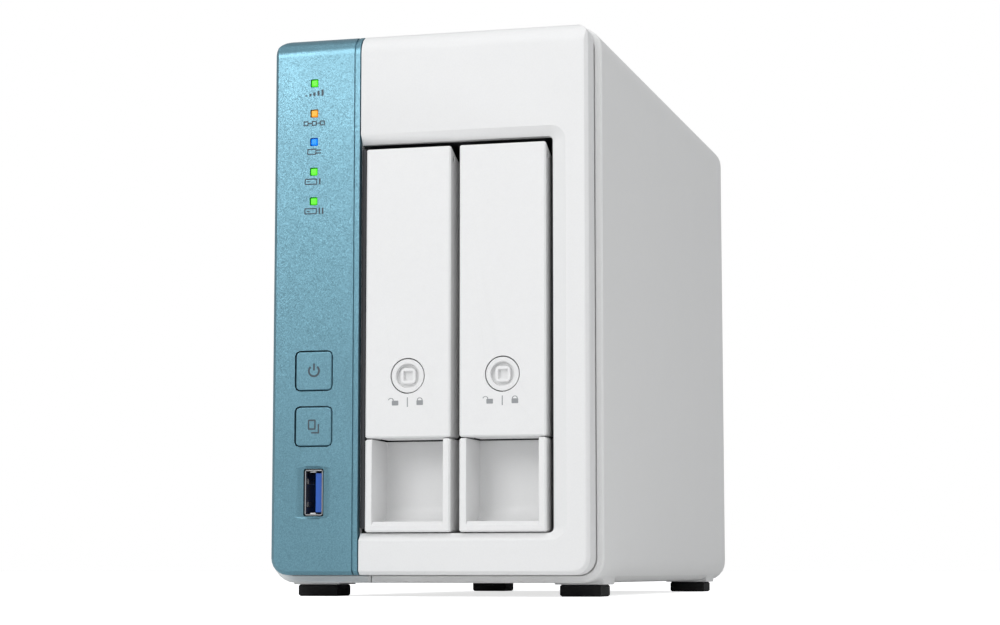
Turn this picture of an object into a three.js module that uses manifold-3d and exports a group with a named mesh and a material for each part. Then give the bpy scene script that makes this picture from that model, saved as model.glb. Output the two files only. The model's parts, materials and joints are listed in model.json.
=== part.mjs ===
// A two-bay desktop network storage tower, in millimetres.
// +X is the right side, -Y is the front, +Z is up. The origin is mid-footprint, on the floor.
import * as THREE from "three";
import { mergeVertices } from "three/addons/utils/BufferGeometryUtils.js";
import Module from "manifold-3d";

const wasm = await Module();
wasm.setup();

// ---------------------------------------------------------------- driving sizes

const GAP = 0.3; // clearance between neighbouring pieces
const WELD = 1e-4; // vertices closer than this are one vertex
const PAST = 1; // how far a cutter runs past the face it cuts

const CASE = {
  halfWidth: 51, bottom: 4.05, top: 168.5, lip: -101, rear: 108.5, wall: 2.5, corner: 7, edge: 0.5,
};
const SEAM_X = -20; // where the left cover meets the main shell, on the top and the bottom
const REAR_LIMIT = 109.5; // the screw heads end here, and so does the object

const PAD = { drop: 0.5, halfSize: 7.45, top: 6.2 };
const FOOT = {
  width: 12.4, depth: 12.5, height: 3.6, chamfer: 0.5, frontY: -82.35, rearY: 89.95, outerX: 41,
};
const REAR_LEFT_FOOT_X = -34.35;

const BEZEL = {
  halfWidth: 48.7, bottom: 6.4, front: -109.5, back: -101.1, corner: 5, chamfer: 1.13, bullnose: 6,
};
const FACE_BACK = -104.7; // rear of the bezel's face plate
const SKIRT = { halfWidth: 45.9, bottom: 9.2, top: 165.7, wall: 2, back: -95, front: -106.7, corner: 3 };
const RECESS = { left: -21.5, right: 41.9, top: 137.7, bottom: 16.6, corner: 4.4, depth: 1.8 };
const MOUTH = { left: -21.5, right: 37.7, top: 134.8, bottom: 18.6, corner: 1.5 };

const ACCENT = { right: -21.5, wall: 2.5, grooveLeft: -23.3, grooveRight: -22.7, grooveDepth: 0.5 };
const LIGHT_X = -36; // the lights stand in one column
const COLUMN_X = -35.45; // the buttons and the front port stand in another
const LIGHT = { size: 1.9, front: -109.4, back: -98.5, edge: 0.2 };
const LIGHT_HEIGHTS = { status: 154.2, network: 144.9, port: 136.2, disk_1: 127.1, disk_2: 118.1 };
const BUTTON = {
  width: 11.4, height: 11.6, corner: 1.3, front: -109.4, back: -104.2, edge: 0.3,
  flange: 1, flangeOver: 1.2, stem: 4, stemBack: -100.5,
};
const BUTTON_HEIGHTS = { power: 66.9, copy: 50.3 };

const USB = {
  across: 5.7, long: 13.6, wall: 0.4, tongue: 1.9, tongueLong: 11.6, blockDepth: 2.2, corner: 0.6,
};
const FRONT_USB = {
  z: 30.7, front: -108.6, back: -95.8, scoopWide: 11, scoopHigh: 15.8, scoopDepth: 0.9, scoopSlope: 0.7,
  scoopSteps: 96,
};

const FRONT_BOARD = { left: -42.5, right: -23.5, bottom: 14, top: 158, front: -95.5, thick: 1.6 };
const SWITCH = { size: 6, front: -99, plunger: 1.5, plungerFront: -99.6 };

const TRAY_XS = [-6.19, 22.75];
const TRAY = { halfWidth: 13.12, front: -109.5, top: 133.2, bottom: 18.9, split: 46.2, edge: 0.5 };
const LEVER = {
  plate: 2, side: 2, depth: 9.4, bottom: 46.55, topFall: 2, topDepth: 4.5, topWall: 2,
  floor: 1.6, floorBack: -95.2, floorHalf: 10.4,
};
const HINGE = {
  y: -106, z: 129.5, pin: 0.8, hole: 1.1, ear: 2, earRoom: 2.3, earIn: 8.8, earOut: 10.8, pinHalf: 12.8,
};
const GRIP = { back: -92, rim: 2.2, floor: 22, cavityBack: -94.5, cavityRadius: 5, bevel: 1.1 };
const LOCK = {
  z: 64.8, hole: 5.3, radius: 5, front: -109.3, back: -103.6, well: 3.6, wellDepth: 1.6,
  boss: 4.7, bossCorner: 1.3, bossFront: -108.9, keyWidth: 2.8, keyLong: 2.8, keyDepth: 1.2,
  camLong: 8, camWidth: 4, camThick: 1.5, camCorner: 1.9,
};

const DRIVE = { halfThick: 13.05, bottom: 25.2, top: 126.8, front: -87.9, back: 59.1, corner: 2 };
const DRIVE_COVER = 1.3; // thickness of the drive's pressed lid, with its gap
const DRIVE_BOARD = 1.0; // thickness of the drive's circuit board, with its gap
const DRIVE_BOARD_INSET = { front: 30, around: 4 }; // from the drive's edges to its board's
const CARRIER = {
  halfWidth: 12.6, rail: 2.7, front: -91.7, bulkhead: 3.5, back: 61,
  runner: 3, runnerBottom: 19.3, runnerTop: 132.4, neckBottom: 117, neckTop: 123,
};
const SOCKET = {
  low: 57, high: 96, left: -11.2, right: -5.8, front: 53.5, slotLeft: -9.6, slotRight: -7.6, slotEnd: 0.5,
};
const TONGUE = { low: 60, high: 93, left: -9.2, right: -8.0, front: 51, back: 58 };

const CAGE = {
  left: -21.24, right: 37.8, bottom: 17.1, top: 136.3, wall: 1.2, front: -104.4, back: 65,
  guideFront: -91, guideBack: 60, guideWall: 1, guideFree: 0.4,
  dividerFront: -91, lipFront: -107.4, lipLow: 20, lipHigh: 133.6,
};
const BACKPLANE = { left: -21, right: 37.5, bottom: 28, top: 124, front: 65.6, thick: 1.6 };
const MAIN_BOARD = { left: -45, thick: 1.6, front: -88, back: 104, bottom: 12, top: 150 };
const HEAT_SINK = { front: -10, back: 25, low: 60, high: 95, base: 2.5, reach: 12, fins: 7, fin: 1.5 };
const COIN_CELL = { radius: 10, thick: 3.2, y: 60, z: 120 };

const REAR = { halfWidth: 48.2, bottom: 6.85, top: 165.7, corner: 4.2, front: 105, back: 106.6 };
const FAN = {
  x: 8.3, z: 100, half: 35, corner: 4, front: 89.7, back: 104.7, bore: 33.2, hub: 13.5,
  motor: 13, motorDepth: 2.5,
  strut: 4, screwPitch: 60, shaft: 1.5, bladeTip: 31.8, bladeFront: 93.6, bladeBack: 103.4, blades: 7,
  bladeThick: 1.4, bladeTwist: 0.75, bladeRoot: 3,
};
const GRILLE = { rings: 4, inner: 12.5, step: 5.6, slot: 4, spoke: 3.2, arcs: 4, chord: 8, fewestChords: 3 };
const TOP_VENTS = { count: 9, pitch: 6, width: 2.6, low: 143, high: 157, firstX: -15.7, corner: 1.25 };
const SCREW = {
  head: 3.2, shank: 2, hole: 2.3, tip: 96, cross: 3.6, crossWidth: 0.9, crossDepth: 1.1, shoulder: 0.9,
};
const CASE_POST = { x: 43.5, high: 160, low: 12.8, half: 4.6, front: 88 };

const PORT_X = -43.1; // rear ports stand on the main board, from here to the right
const NETWORK_PORT = {
  z: 44, across: 13.5, wide: 16, front: 86.6, back: 107.6,
  socketWide: 11.8, socketAcross: 7.4, socketDepth: 13,
  latchWide: 6, latchAcross: 2.6, rim: 2.2,
};
const REAR_USB = { x: -37, front: 92, back: 107.6, heights: [72, 92] };
const POWER_JACK = { z: 20, across: 10.5, wide: 11, front: 93, back: 107.6, hole: 3.2, pin: 1, depth: 10 };
const RESET = {
  x: -37, z: 58, radius: 1.5, hole: 1.8, back: 106.3, front: 99, flange: 2.6, flangeThick: 1.2,
};
const TETHER_SLOT = { x: -37, z: 154, wide: 7, high: 3, corner: 1 };

const ROUND_STEPS = 6; // straight steps in a quarter of a rounded corner
const WHITE = 0xececec;
const TEAL = 0x8fbccb;

// ---------------------------------------------------------------- outlines

const point = (u, v) => new THREE.Vector2(u, v);

function arc(u, v, radius, from, to, steps = ROUND_STEPS) {
  return Array.from({ length: steps + 1 }, (_, i) => {
    const angle = from + ((to - from) * i) / steps;
    return point(u + radius * Math.cos(angle), v + radius * Math.sin(angle));
  });
}

function rectangle(left, low, right, high) {
  return [point(left, low), point(right, low), point(right, high), point(left, high)];
}

function roundedRectangle(left, low, right, high, radius, steps = ROUND_STEPS) {
  const quarter = Math.PI / 2;
  return [
    ...arc(right - radius, low + radius, radius, -quarter, 0, steps),
    ...arc(right - radius, high - radius, radius, 0, quarter, steps),
    ...arc(left + radius, high - radius, radius, quarter, 2 * quarter, steps),
    ...arc(left + radius, low + radius, radius, 2 * quarter, 3 * quarter, steps),
  ];
}

const circle = (u, v, radius, steps = 24) => arc(u, v, radius, 0, 2 * Math.PI, steps).slice(0, -1);

const mirrored = (outline) => outline.map((p) => point(-p.x, p.y)).reverse();

// ---------------------------------------------------------------- solids

function solidOf(geometry) {
  const loose = geometry.index ? geometry.toNonIndexed() : geometry;
  const bare = new THREE.BufferGeometry().setAttribute("position", loose.getAttribute("position"));
  const welded = mergeVertices(bare, WELD);
  const corners = [];
  for (let i = 0; i < welded.index.count; i += 3) {
    const [a, b, c] = [0, 1, 2].map((k) => welded.index.getX(i + k));
    if (a !== b && b !== c && c !== a) corners.push(a, b, c);
  }
  const vertProperties = welded.getAttribute("position").array;
  return new wasm.Manifold(new wasm.Mesh({ numProp: 3, vertProperties, triVerts: new Uint32Array(corners) }));
}

function geometryOf(solid) {
  const { vertProperties, triVerts } = solid.getMesh();
  const geometry = new THREE.BufferGeometry();
  geometry.setAttribute("position", new THREE.BufferAttribute(vertProperties, 3));
  geometry.setIndex(new THREE.BufferAttribute(triVerts, 1));
  geometry.computeVertexNormals();
  return geometry;
}

const join = (solids) => solids.reduce((whole, next) => whole.add(next));
const cut = (solid, cutters) => cutters.reduce((left, cutter) => left.subtract(cutter), solid);

function extruded(outline, depth, bevel) {
  const geometry = new THREE.ExtrudeGeometry(new THREE.Shape(outline), {
    depth: depth - 2 * bevel,
    bevelEnabled: bevel > 0,
    bevelThickness: bevel,
    bevelSize: bevel,
    bevelOffset: -bevel,
    bevelSegments: 1,
  });
  return geometry.translate(0, 0, bevel);
}

// An outline drawn in X and Z, standing from one Y to another.
function prismY(outline, fromY, toY, bevel = 0) {
  return solidOf(extruded(outline, toY - fromY, bevel).rotateX(Math.PI / 2).translate(0, toY, 0));
}

// A prism with windows right through it.
function plateY(outline, fromY, toY, windows) {
  return cut(prismY(outline, fromY, toY), windows.map((window) => prismY(window, fromY - PAST, toY + PAST)));
}

const FROM_SIDE = new THREE.Matrix4().set(0, 0, 1, 0, 1, 0, 0, 0, 0, 1, 0, 0, 0, 0, 0, 1);

// An outline drawn in Y and Z, standing from one X to another.
function prismX(outline, fromX, toX, bevel = 0) {
  return solidOf(extruded(outline, toX - fromX, bevel).applyMatrix4(FROM_SIDE).translate(fromX, 0, 0));
}

// An outline drawn in X and Y, standing from one Z to another.
function prismZ(outline, fromZ, toZ, bevel = 0) {
  return solidOf(extruded(outline, toZ - fromZ, bevel).translate(0, 0, fromZ));
}

function block(fromX, fromY, fromZ, toX, toY, toZ) {
  const box = new THREE.BoxGeometry(toX - fromX, toY - fromY, toZ - fromZ);
  return solidOf(box.translate((fromX + toX) / 2, (fromY + toY) / 2, (fromZ + toZ) / 2));
}

function rodY(x, z, radius, fromY, toY, steps = 24) {
  return prismY(circle(x, z, radius, steps), fromY, toY);
}

function rodX(y, z, radius, fromX, toX, steps = 16) {
  return prismX(circle(y, z, radius, steps), fromX, toX);
}

// A ruled solid between two outlines of equal point count, in X and Z, at two Y planes.
function ruledY(nearOutline, nearY, farOutline, farY) {
  const geometry = extruded(nearOutline, farY - nearY, 0).rotateX(Math.PI / 2).translate(0, farY, 0);
  const position = geometry.getAttribute("position");
  for (let i = 0; i < position.count; i += 1) {
    if (Math.abs(position.getY(i) - farY) > WELD) continue;
    const k = nearOutline.findIndex(
      (p) => Math.abs(p.x - position.getX(i)) < 1e-3 && Math.abs(p.y - position.getZ(i)) < 1e-3,
    );
    position.setX(i, farOutline[k].x);
    position.setZ(i, farOutline[k].y);
  }
  return solidOf(geometry);
}

// ---------------------------------------------------------------- casing

// The C-shaped wall of the right-hand casing, from the seam round the right side and back to the seam.
function casingOutline(seam) {
  const { halfWidth, bottom, top, wall, corner } = CASE;
  const quarter = Math.PI / 2;
  const inner = corner - wall;
  const x = halfWidth - corner;
  return [
    point(seam, bottom),
    ...arc(x, bottom + corner, corner, -quarter, 0),
    ...arc(x, top - corner, corner, 0, quarter),
    point(seam, top),
    point(seam, top - wall),
    ...arc(x, top - corner, inner, quarter, 0),
    ...arc(x, bottom + corner, inner, 0, -quarter),
    point(seam, bottom + wall),
  ];
}

function pad(x, y) {
  const { halfSize, drop, top } = PAD;
  const low = CASE.bottom - drop;
  const base = block(x - halfSize, y - halfSize, low, x + halfSize, y + halfSize, top);
  const halfPocket = point(FOOT.width / 2 + GAP, FOOT.depth / 2 + GAP);
  const pocket = block(
    x - halfPocket.x, y - halfPocket.y, low - PAST,
    x + halfPocket.x, y + halfPocket.y, FOOT.height + GAP,
  );
  return { base, pocket };
}

// A post inside a casing corner that takes a rear screw.
function casePost(side, x, z) {
  const { half, front } = CASE_POST;
  const outer = side * (CASE.halfWidth - CASE.wall / 2);
  const inner = x - side * half;
  const nearWall = z > CASE.top / 2 ? CASE.top - CASE.wall / 2 : CASE.bottom + CASE.wall / 2;
  const farWall = z > CASE.top / 2 ? z - half : z + half;
  const back = REAR.front - GAP;
  return block(
    Math.min(outer, inner), front, Math.min(nearWall, farWall),
    Math.max(outer, inner), back, Math.max(nearWall, farWall),
  );
}

function casing(outline, side, footPlaces, screwPlaces) {
  const pads = footPlaces.map(([x, y]) => pad(x, y));
  const cornerBlock = prismY(caseOutline(), CASE.lip - PAST, CASE.rear + PAST);
  const posts = screwPlaces.map(([x, z]) => casePost(side, x, z).intersect(cornerBlock));
  const bores = screwPlaces.map(([x, z]) => rodY(x, z, SCREW.hole, SCREW.tip - PAST, REAR.front + PAST, 16));
  const wall = prismY(outline, CASE.lip, CASE.rear, CASE.edge);
  const padBases = pads.map(({ base }) => base);
  return cut(join([wall, ...padBases, ...posts]), [...pads.map(({ pocket }) => pocket), ...bores]);
}

const caseOutline = () =>
  roundedRectangle(-CASE.halfWidth, CASE.bottom, CASE.halfWidth, CASE.top, CASE.corner);

function rightShell() {
  const feet = [[FOOT.outerX, FOOT.frontY], [FOOT.outerX, FOOT.rearY]];
  const screws = [[CASE_POST.x, CASE_POST.high], [CASE_POST.x, CASE_POST.low]];
  return casing(casingOutline(SEAM_X + GAP / 2), 1, feet, screws);
}

function leftCover() {
  const feet = [[-FOOT.outerX, FOOT.frontY], [REAR_LEFT_FOOT_X, FOOT.rearY]];
  const screws = [[-CASE_POST.x, CASE_POST.high]];
  return casing(mirrored(casingOutline(-SEAM_X + GAP / 2)), -1, feet, screws);
}

function foot(x, y) {
  const outline = rectangle(x - FOOT.width / 2, y - FOOT.depth / 2, x + FOOT.width / 2, y + FOOT.depth / 2);
  return prismZ(outline, 0, FOOT.height, FOOT.chamfer);
}

// ---------------------------------------------------------------- front bezel and accent panel

// The whole front block with its chamfered edge and rounded top, drawn in by an inset all over.
function frontBlock(inset) {
  const { halfWidth, bottom, front, back, corner, chamfer, bullnose } = BEZEL;
  const face = roundedRectangle(
    inset - halfWidth, bottom + inset, halfWidth - inset, CASE.top - inset, corner - inset,
  );
  const slab = prismY(face, front + inset, back + 2 * chamfer, chamfer);
  const side = [
    point(front + inset, 0),
    point(back, 0),
    point(back, CASE.top - inset),
    ...arc(front + bullnose, CASE.top - bullnose, bullnose - inset, Math.PI / 2, Math.PI),
  ];
  return slab.intersect(prismX(side, -halfWidth - PAST, halfWidth + PAST));
}

const columnHole = (z, width, height, corner, fromY, toY) =>
  prismY(
    roundedRectangle(
      COLUMN_X - width / 2, z - height / 2, COLUMN_X + width / 2, z + height / 2, corner, 2,
    ),
    fromY, toY,
  );

function frontBezel() {
  const right = frontBlock(0).intersect(
    block(ACCENT.right + GAP, BEZEL.front - PAST, 0, BEZEL.halfWidth + PAST, BEZEL.back, CASE.top + PAST),
  );
  const { halfWidth, bottom, top, wall, front, back, corner } = SKIRT;
  const skirt = prismY(roundedRectangle(-halfWidth, bottom, halfWidth, top, corner, 3), front, back);
  const hollow = block(wall - halfWidth, FACE_BACK, bottom + wall, halfWidth - wall, back + PAST, top - wall);
  const mouth = roundedRectangle(MOUTH.left, MOUTH.bottom, MOUTH.right, MOUTH.top, MOUTH.corner);
  const rim = roundedRectangle(RECESS.left, RECESS.bottom, RECESS.right, RECESS.top, RECESS.corner);
  const slope = ruledY(rim, BEZEL.front, mouth, BEZEL.front + RECESS.depth);
  const leftEdge = rectangle(MOUTH.left, MOUTH.bottom, MOUTH.left + RECESS.corner, MOUTH.top);
  const slopeEdge = rectangle(RECESS.left, RECESS.bottom, RECESS.left + RECESS.corner, RECESS.top);
  const cutters = [
    hollow,
    slope,
    prismY(mouth, BEZEL.front - PAST, back + PAST),
    ruledY(slopeEdge, BEZEL.front, leftEdge, BEZEL.front + RECESS.depth),
    prismY(leftEdge, BEZEL.front - PAST, back + PAST),
    ...Object.values(LIGHT_HEIGHTS).map((z) => lightHole(z)),
    ...Object.values(BUTTON_HEIGHTS).map((z) => {
      const over = 2 * (BUTTON.flangeOver + GAP);
      const { width, height, corner } = BUTTON;
      return columnHole(z, width + over, height + over, corner, front - PAST, FACE_BACK + PAST);
    }),
    frontUsbHole(),
  ];
  return cut(right.add(skirt), cutters);
}

function lightHole(z) {
  const half = LIGHT.size / 2 + GAP;
  const outline = roundedRectangle(LIGHT_X - half, z - half, LIGHT_X + half, z + half, GAP, 2);
  return prismY(outline, BEZEL.front - PAST, FACE_BACK + PAST);
}

const frontUsbHole = () =>
  columnHole(
    FRONT_USB.z, USB.across + 2 * GAP, USB.long + 2 * GAP, USB.corner, BEZEL.front - PAST, FACE_BACK + PAST,
  );

// The shallow trough round the front port: part of an upright cylinder, with sloping ends above and below.
function portScoop() {
  const { z, scoopWide, scoopHigh, scoopDepth, scoopSlope, scoopSteps } = FRONT_USB;
  const radius = (scoopWide ** 2 / 4 + scoopDepth ** 2) / (2 * scoopDepth);
  const middle = BEZEL.front + scoopDepth - radius;
  const round = circle(COLUMN_X, middle, radius, scoopSteps);
  return prismZ(round, z - scoopHigh / 2, z + scoopHigh / 2, scoopSlope);
}

function accentPanel() {
  const { right, wall, grooveLeft, grooveRight, grooveDepth } = ACCENT;
  const left = -BEZEL.halfWidth;
  const panel = frontBlock(0).intersect(
    block(left - PAST, BEZEL.front - PAST, 0, right, BEZEL.back, CASE.top + PAST),
  );
  const hollow = block(
    left + wall, BEZEL.front + wall, BEZEL.bottom + wall, right + PAST, BEZEL.back + PAST, CASE.top - wall,
  );
  const slice = block(grooveLeft, BEZEL.front - PAST, 0, grooveRight, BEZEL.back + PAST, CASE.top + PAST);
  const groove = slice.subtract(frontBlock(grooveDepth));
  const cutters = [
    hollow,
    groove,
    ...Object.values(LIGHT_HEIGHTS).map((z) => lightHole(z)),
    ...Object.values(BUTTON_HEIGHTS).map((z) => {
      const { width, height, corner } = BUTTON;
      return columnHole(z, width + 2 * GAP, height + 2 * GAP, corner + GAP, BEZEL.front - PAST, SKIRT.front);
    }),
    frontUsbHole(),
    portScoop(),
  ];
  return cut(panel, cutters);
}

function statusLight(z) {
  const half = LIGHT.size / 2;
  const outline = rectangle(LIGHT_X - half, z - half, LIGHT_X + half, z + half);
  return prismY(outline, LIGHT.front, LIGHT.back, LIGHT.edge);
}

function pushButton(z) {
  const { width, height, corner, front, back, edge, flange, flangeOver, stem, stemBack } = BUTTON;
  const outline = (over) =>
    roundedRectangle(
      COLUMN_X - width / 2 - over, z - height / 2 - over, COLUMN_X + width / 2 + over, z + height / 2 + over,
      corner, 3,
    );
  const cap = prismY(outline(0), front, back, edge);
  const rim = prismY(outline(flangeOver), SKIRT.front, SKIRT.front + flange);
  const half = stem / 2;
  const post = block(COLUMN_X - half, back - PAST, z - half, COLUMN_X + half, stemBack, z + half);
  return join([cap, rim, post]);
}

function buttonSwitch(z) {
  const { size, front, plunger, plungerFront } = SWITCH;
  const back = FRONT_BOARD.front - GAP;
  const body = block(COLUMN_X - size / 2, front, z - size / 2, COLUMN_X + size / 2, back, z + size / 2);
  return body.add(rodY(COLUMN_X, z, plunger, plungerFront, front + PAST, 12));
}

function frontBoard() {
  const { left, right, bottom, top, front, thick } = FRONT_BOARD;
  return block(left, front, bottom, right, front + thick, top);
}

// ---------------------------------------------------------------- ports

// The folded metal sleeve of a USB socket. Its mouth faces -Y or +Y.
function usbSleeve(x, z, fromY, toY) {
  const { across, long, wall, corner } = USB;
  const outer = roundedRectangle(x - across / 2, z - long / 2, x + across / 2, z + long / 2, corner, 2);
  const inner = rectangle(
    x - across / 2 + wall, z - long / 2 + wall, x + across / 2 - wall, z + long / 2 - wall,
  );
  return plateY(outer, fromY, toY, [inner]);
}

// The plastic core of a USB socket: a block that fills the closed end, and the tongue that stands out of it.
function usbCore(x, z, closedY, mouthY) {
  const { across, long, wall, tongue, tongueLong, blockDepth } = USB;
  const inside = wall + GAP;
  const direction = Math.sign(mouthY - closedY);
  const blockEnd = closedY + direction * blockDepth;
  const tongueEnd = mouthY - direction * PAST;
  const core = block(
    x - across / 2 + inside, Math.min(closedY, blockEnd), z - long / 2 + inside,
    x + across / 2 - inside, Math.max(closedY, blockEnd), z + long / 2 - inside,
  );
  const blade = block(
    x + across / 2 - inside - tongue, Math.min(closedY, tongueEnd), z - tongueLong / 2,
    x + across / 2 - inside, Math.max(closedY, tongueEnd), z + tongueLong / 2,
  );
  return core.add(blade);
}

function networkPort() {
  const { z, across, wide, front, back, socketWide, socketAcross, socketDepth, latchWide, latchAcross, rim } =
    NETWORK_PORT;
  const right = PORT_X + across;
  const body = block(PORT_X, front, z - wide / 2, right, back, z + wide / 2);
  const socketRight = right - rim;
  const socketLeft = socketRight - socketAcross;
  const bottomY = back - socketDepth;
  const socket = block(
    socketLeft, bottomY, z - socketWide / 2, socketRight, back + PAST, z + socketWide / 2,
  );
  const latch = block(
    socketLeft - latchAcross, bottomY, z - latchWide / 2, socketLeft + PAST, back + PAST, z + latchWide / 2,
  );
  return cut(body, [socket, latch]);
}

function powerJack() {
  const { z, across, wide, front, back, hole, pin, depth } = POWER_JACK;
  const body = block(PORT_X, front, z - wide / 2, PORT_X + across, back, z + wide / 2);
  const x = PORT_X + across / 2;
  const socket = rodY(x, z, hole, back - depth, back + PAST, 20).subtract(
    rodY(x, z, pin, back - depth - PAST, back - PAST, 10),
  );
  return body.subtract(socket);
}

function resetButton() {
  const { x, z, radius, back, front, flange, flangeThick } = RESET;
  const rim = rodY(x, z, flange, REAR.front - GAP - flangeThick, REAR.front - GAP, 16);
  return rodY(x, z, radius, front, back, 16).add(rim);
}

// ---------------------------------------------------------------- trays

function trayLever(x) {
  const { halfWidth, front, top, edge } = TRAY;
  const { plate, side, depth, bottom, topFall, topDepth, topWall, floor, floorBack, floorHalf } = LEVER;
  const back = front + depth;
  const sideOutline = [
    point(front, bottom),
    point(back, bottom),
    point(back, top - topFall - topWall),
    point(front + topDepth, top - topFall),
    point(front, top),
  ];
  const face = roundedRectangle(x - halfWidth, bottom, x + halfWidth, top, edge, 1);
  const body = prismX(sideOutline, x - halfWidth, x + halfWidth).intersect(
    prismY(face, front, back + 2 * edge, edge),
  );
  const hollow = [
    point(front + plate, bottom - PAST),
    point(back + PAST, bottom - PAST),
    point(back + PAST, top + PAST),
    point(front + topDepth - GAP, top + PAST),
    point(front + topDepth - GAP, top - topFall - topWall / 2),
    point(front + plate, top - topWall),
  ];
  const earRooms = [-1, 1].map((end) => {
    const near = x + end * (HINGE.earIn - GAP);
    const far = x + end * (HINGE.earOut + GAP);
    return rodX(HINGE.y, HINGE.z, HINGE.earRoom, Math.min(near, far), Math.max(near, far));
  });
  const floorFront = front + plate - GAP;
  const fingerFloor = block(x - floorHalf, floorFront, bottom, x + floorHalf, floorBack, bottom + floor);
  const shell = cut(body, [
    prismX(hollow, x - halfWidth + side, x + halfWidth - side),
    rodX(HINGE.y, HINGE.z, HINGE.hole, x - halfWidth - PAST, x + halfWidth + PAST, 12),
    rodY(x, LOCK.z, LOCK.hole, front - PAST, front + plate + PAST, 32),
    ...earRooms,
  ]);
  return shell.add(fingerFloor);
}

function trayLock(x) {
  const { z, radius, front, back, well, wellDepth, boss, bossCorner, bossFront } = LOCK;
  const { keyWidth, keyLong, keyDepth, camLong, camWidth, camThick, camCorner } = LOCK;
  const barrel = rodY(x, z, radius, front, back - camThick + PAST, 32);
  const pit = rodY(x, z, well, front - PAST, front + wellDepth, 24);
  const knob = prismY(
    roundedRectangle(x - boss / 2, z - boss / 2, x + boss / 2, z + boss / 2, bossCorner, 3),
    bossFront, front + wellDepth + PAST,
  );
  const keyway = block(
    x - keyWidth / 2, bossFront - PAST, z - keyLong / 2,
    x + keyWidth / 2, bossFront + keyDepth, z + keyLong / 2,
  );
  const cam = prismY(
    roundedRectangle(x - camWidth / 2, z - camWidth / 2, x + camWidth / 2, z + camLong, camCorner, 3),
    back - camThick, back,
  );
  return cut(join([cut(barrel, [pit]), knob, cam]), [keyway]);
}

function hingePin(x) {
  return rodX(HINGE.y, HINGE.z, HINGE.pin, x - HINGE.pinHalf, x + HINGE.pinHalf, 12);
}

function trayGrip(x) {
  const { halfWidth, front, bottom, split, edge } = TRAY;
  const { back, rim, floor, cavityBack, cavityRadius, bevel } = GRIP;
  const face = roundedRectangle(x - halfWidth, bottom, x + halfWidth, split, edge, 1);
  const body = prismY(face, front, back, edge);
  const cavity = [
    point(front - bevel, floor - 2 * bevel),
    point(front + bevel, floor),
    ...arc(cavityBack - cavityRadius, floor + cavityRadius, cavityRadius, -Math.PI / 2, 0),
    point(cavityBack, split + PAST),
    point(front - bevel, split + PAST),
  ];
  return body.subtract(prismX(cavity, x - halfWidth + rim, x + halfWidth - rim));
}

// The drive carrier: a C of bulkhead and two rails, a runner on each rail and two ears for the lever's pin.
function trayCarrier(x) {
  const { halfWidth, rail, front, bulkhead, back, runner } = CARRIER;
  const { runnerBottom, runnerTop, neckBottom, neckTop } = CARRIER;
  const low = DRIVE.bottom - GAP - rail;
  const high = DRIVE.top + GAP + rail;
  const frame = [
    point(front, low),
    point(back, low),
    point(back, low + rail),
    point(front + bulkhead, low + rail),
    point(front + bulkhead, high - rail),
    point(back, high - rail),
    point(back, high),
    point(front, high),
  ];
  const neckFront = TRAY.front + LEVER.plate + GAP;
  const arm = [
    point(front + PAST, neckBottom),
    point(front + PAST, neckTop),
    point(HINGE.y + HINGE.ear, neckTop),
    ...arc(HINGE.y, HINGE.z, HINGE.ear, 0, Math.PI + Math.acos((HINGE.y - neckFront) / HINGE.ear)),
    point(neckFront, neckTop),
    point(HINGE.y + HINGE.ear, neckBottom),
  ];
  const ears = [-1, 1].map((end) => {
    const near = x + end * HINGE.earIn;
    const far = x + end * HINGE.earOut;
    return prismX(arm, Math.min(near, far), Math.max(near, far)).subtract(
      rodX(HINGE.y, HINGE.z, HINGE.hole, Math.min(near, far) - PAST, Math.max(near, far) + PAST, 12),
    );
  });
  return join([
    prismX(frame, x - halfWidth, x + halfWidth),
    block(x - runner, front + bulkhead, runnerBottom, x + runner, back, low + PAST),
    block(x - runner, front + bulkhead, high - PAST, x + runner, back, runnerTop),
    ...ears,
  ]);
}

function driveBody(x) {
  const { halfThick, bottom, top, front, back, corner } = DRIVE;
  const left = x - halfThick + DRIVE_BOARD;
  const outline = roundedRectangle(bottom, front, top, back, corner, 2).map((p) => point(p.y, p.x)).reverse();
  const body = prismX(outline, left, x + halfThick - DRIVE_COVER);
  const notch = block(
    left - PAST, SOCKET.front - GAP, SOCKET.low - GAP, x + SOCKET.right + GAP, back + PAST, SOCKET.high + GAP,
  );
  const tongue = block(x + TONGUE.left, TONGUE.front, TONGUE.low, x + TONGUE.right, TONGUE.back, TONGUE.high);
  return body.subtract(notch).add(tongue);
}

function driveCover(x) {
  const { halfThick, bottom, top, front, back, corner } = DRIVE;
  const inset = 1.5;
  const outline = roundedRectangle(bottom + inset, front + inset, top - inset, back - inset, corner, 2);
  const turned = outline.map((p) => point(p.y, p.x)).reverse();
  return prismX(turned, x + halfThick - DRIVE_COVER + GAP, x + halfThick, GAP);
}

function driveBoard(x) {
  const { halfThick, bottom, top, front } = DRIVE;
  const left = x - halfThick;
  const inset = DRIVE_BOARD_INSET;
  return block(
    left, front + inset.front, bottom + inset.around,
    left + DRIVE_BOARD - GAP, SOCKET.front - inset.around, top - inset.around,
  );
}

// ---------------------------------------------------------------- cage and boards

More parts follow.
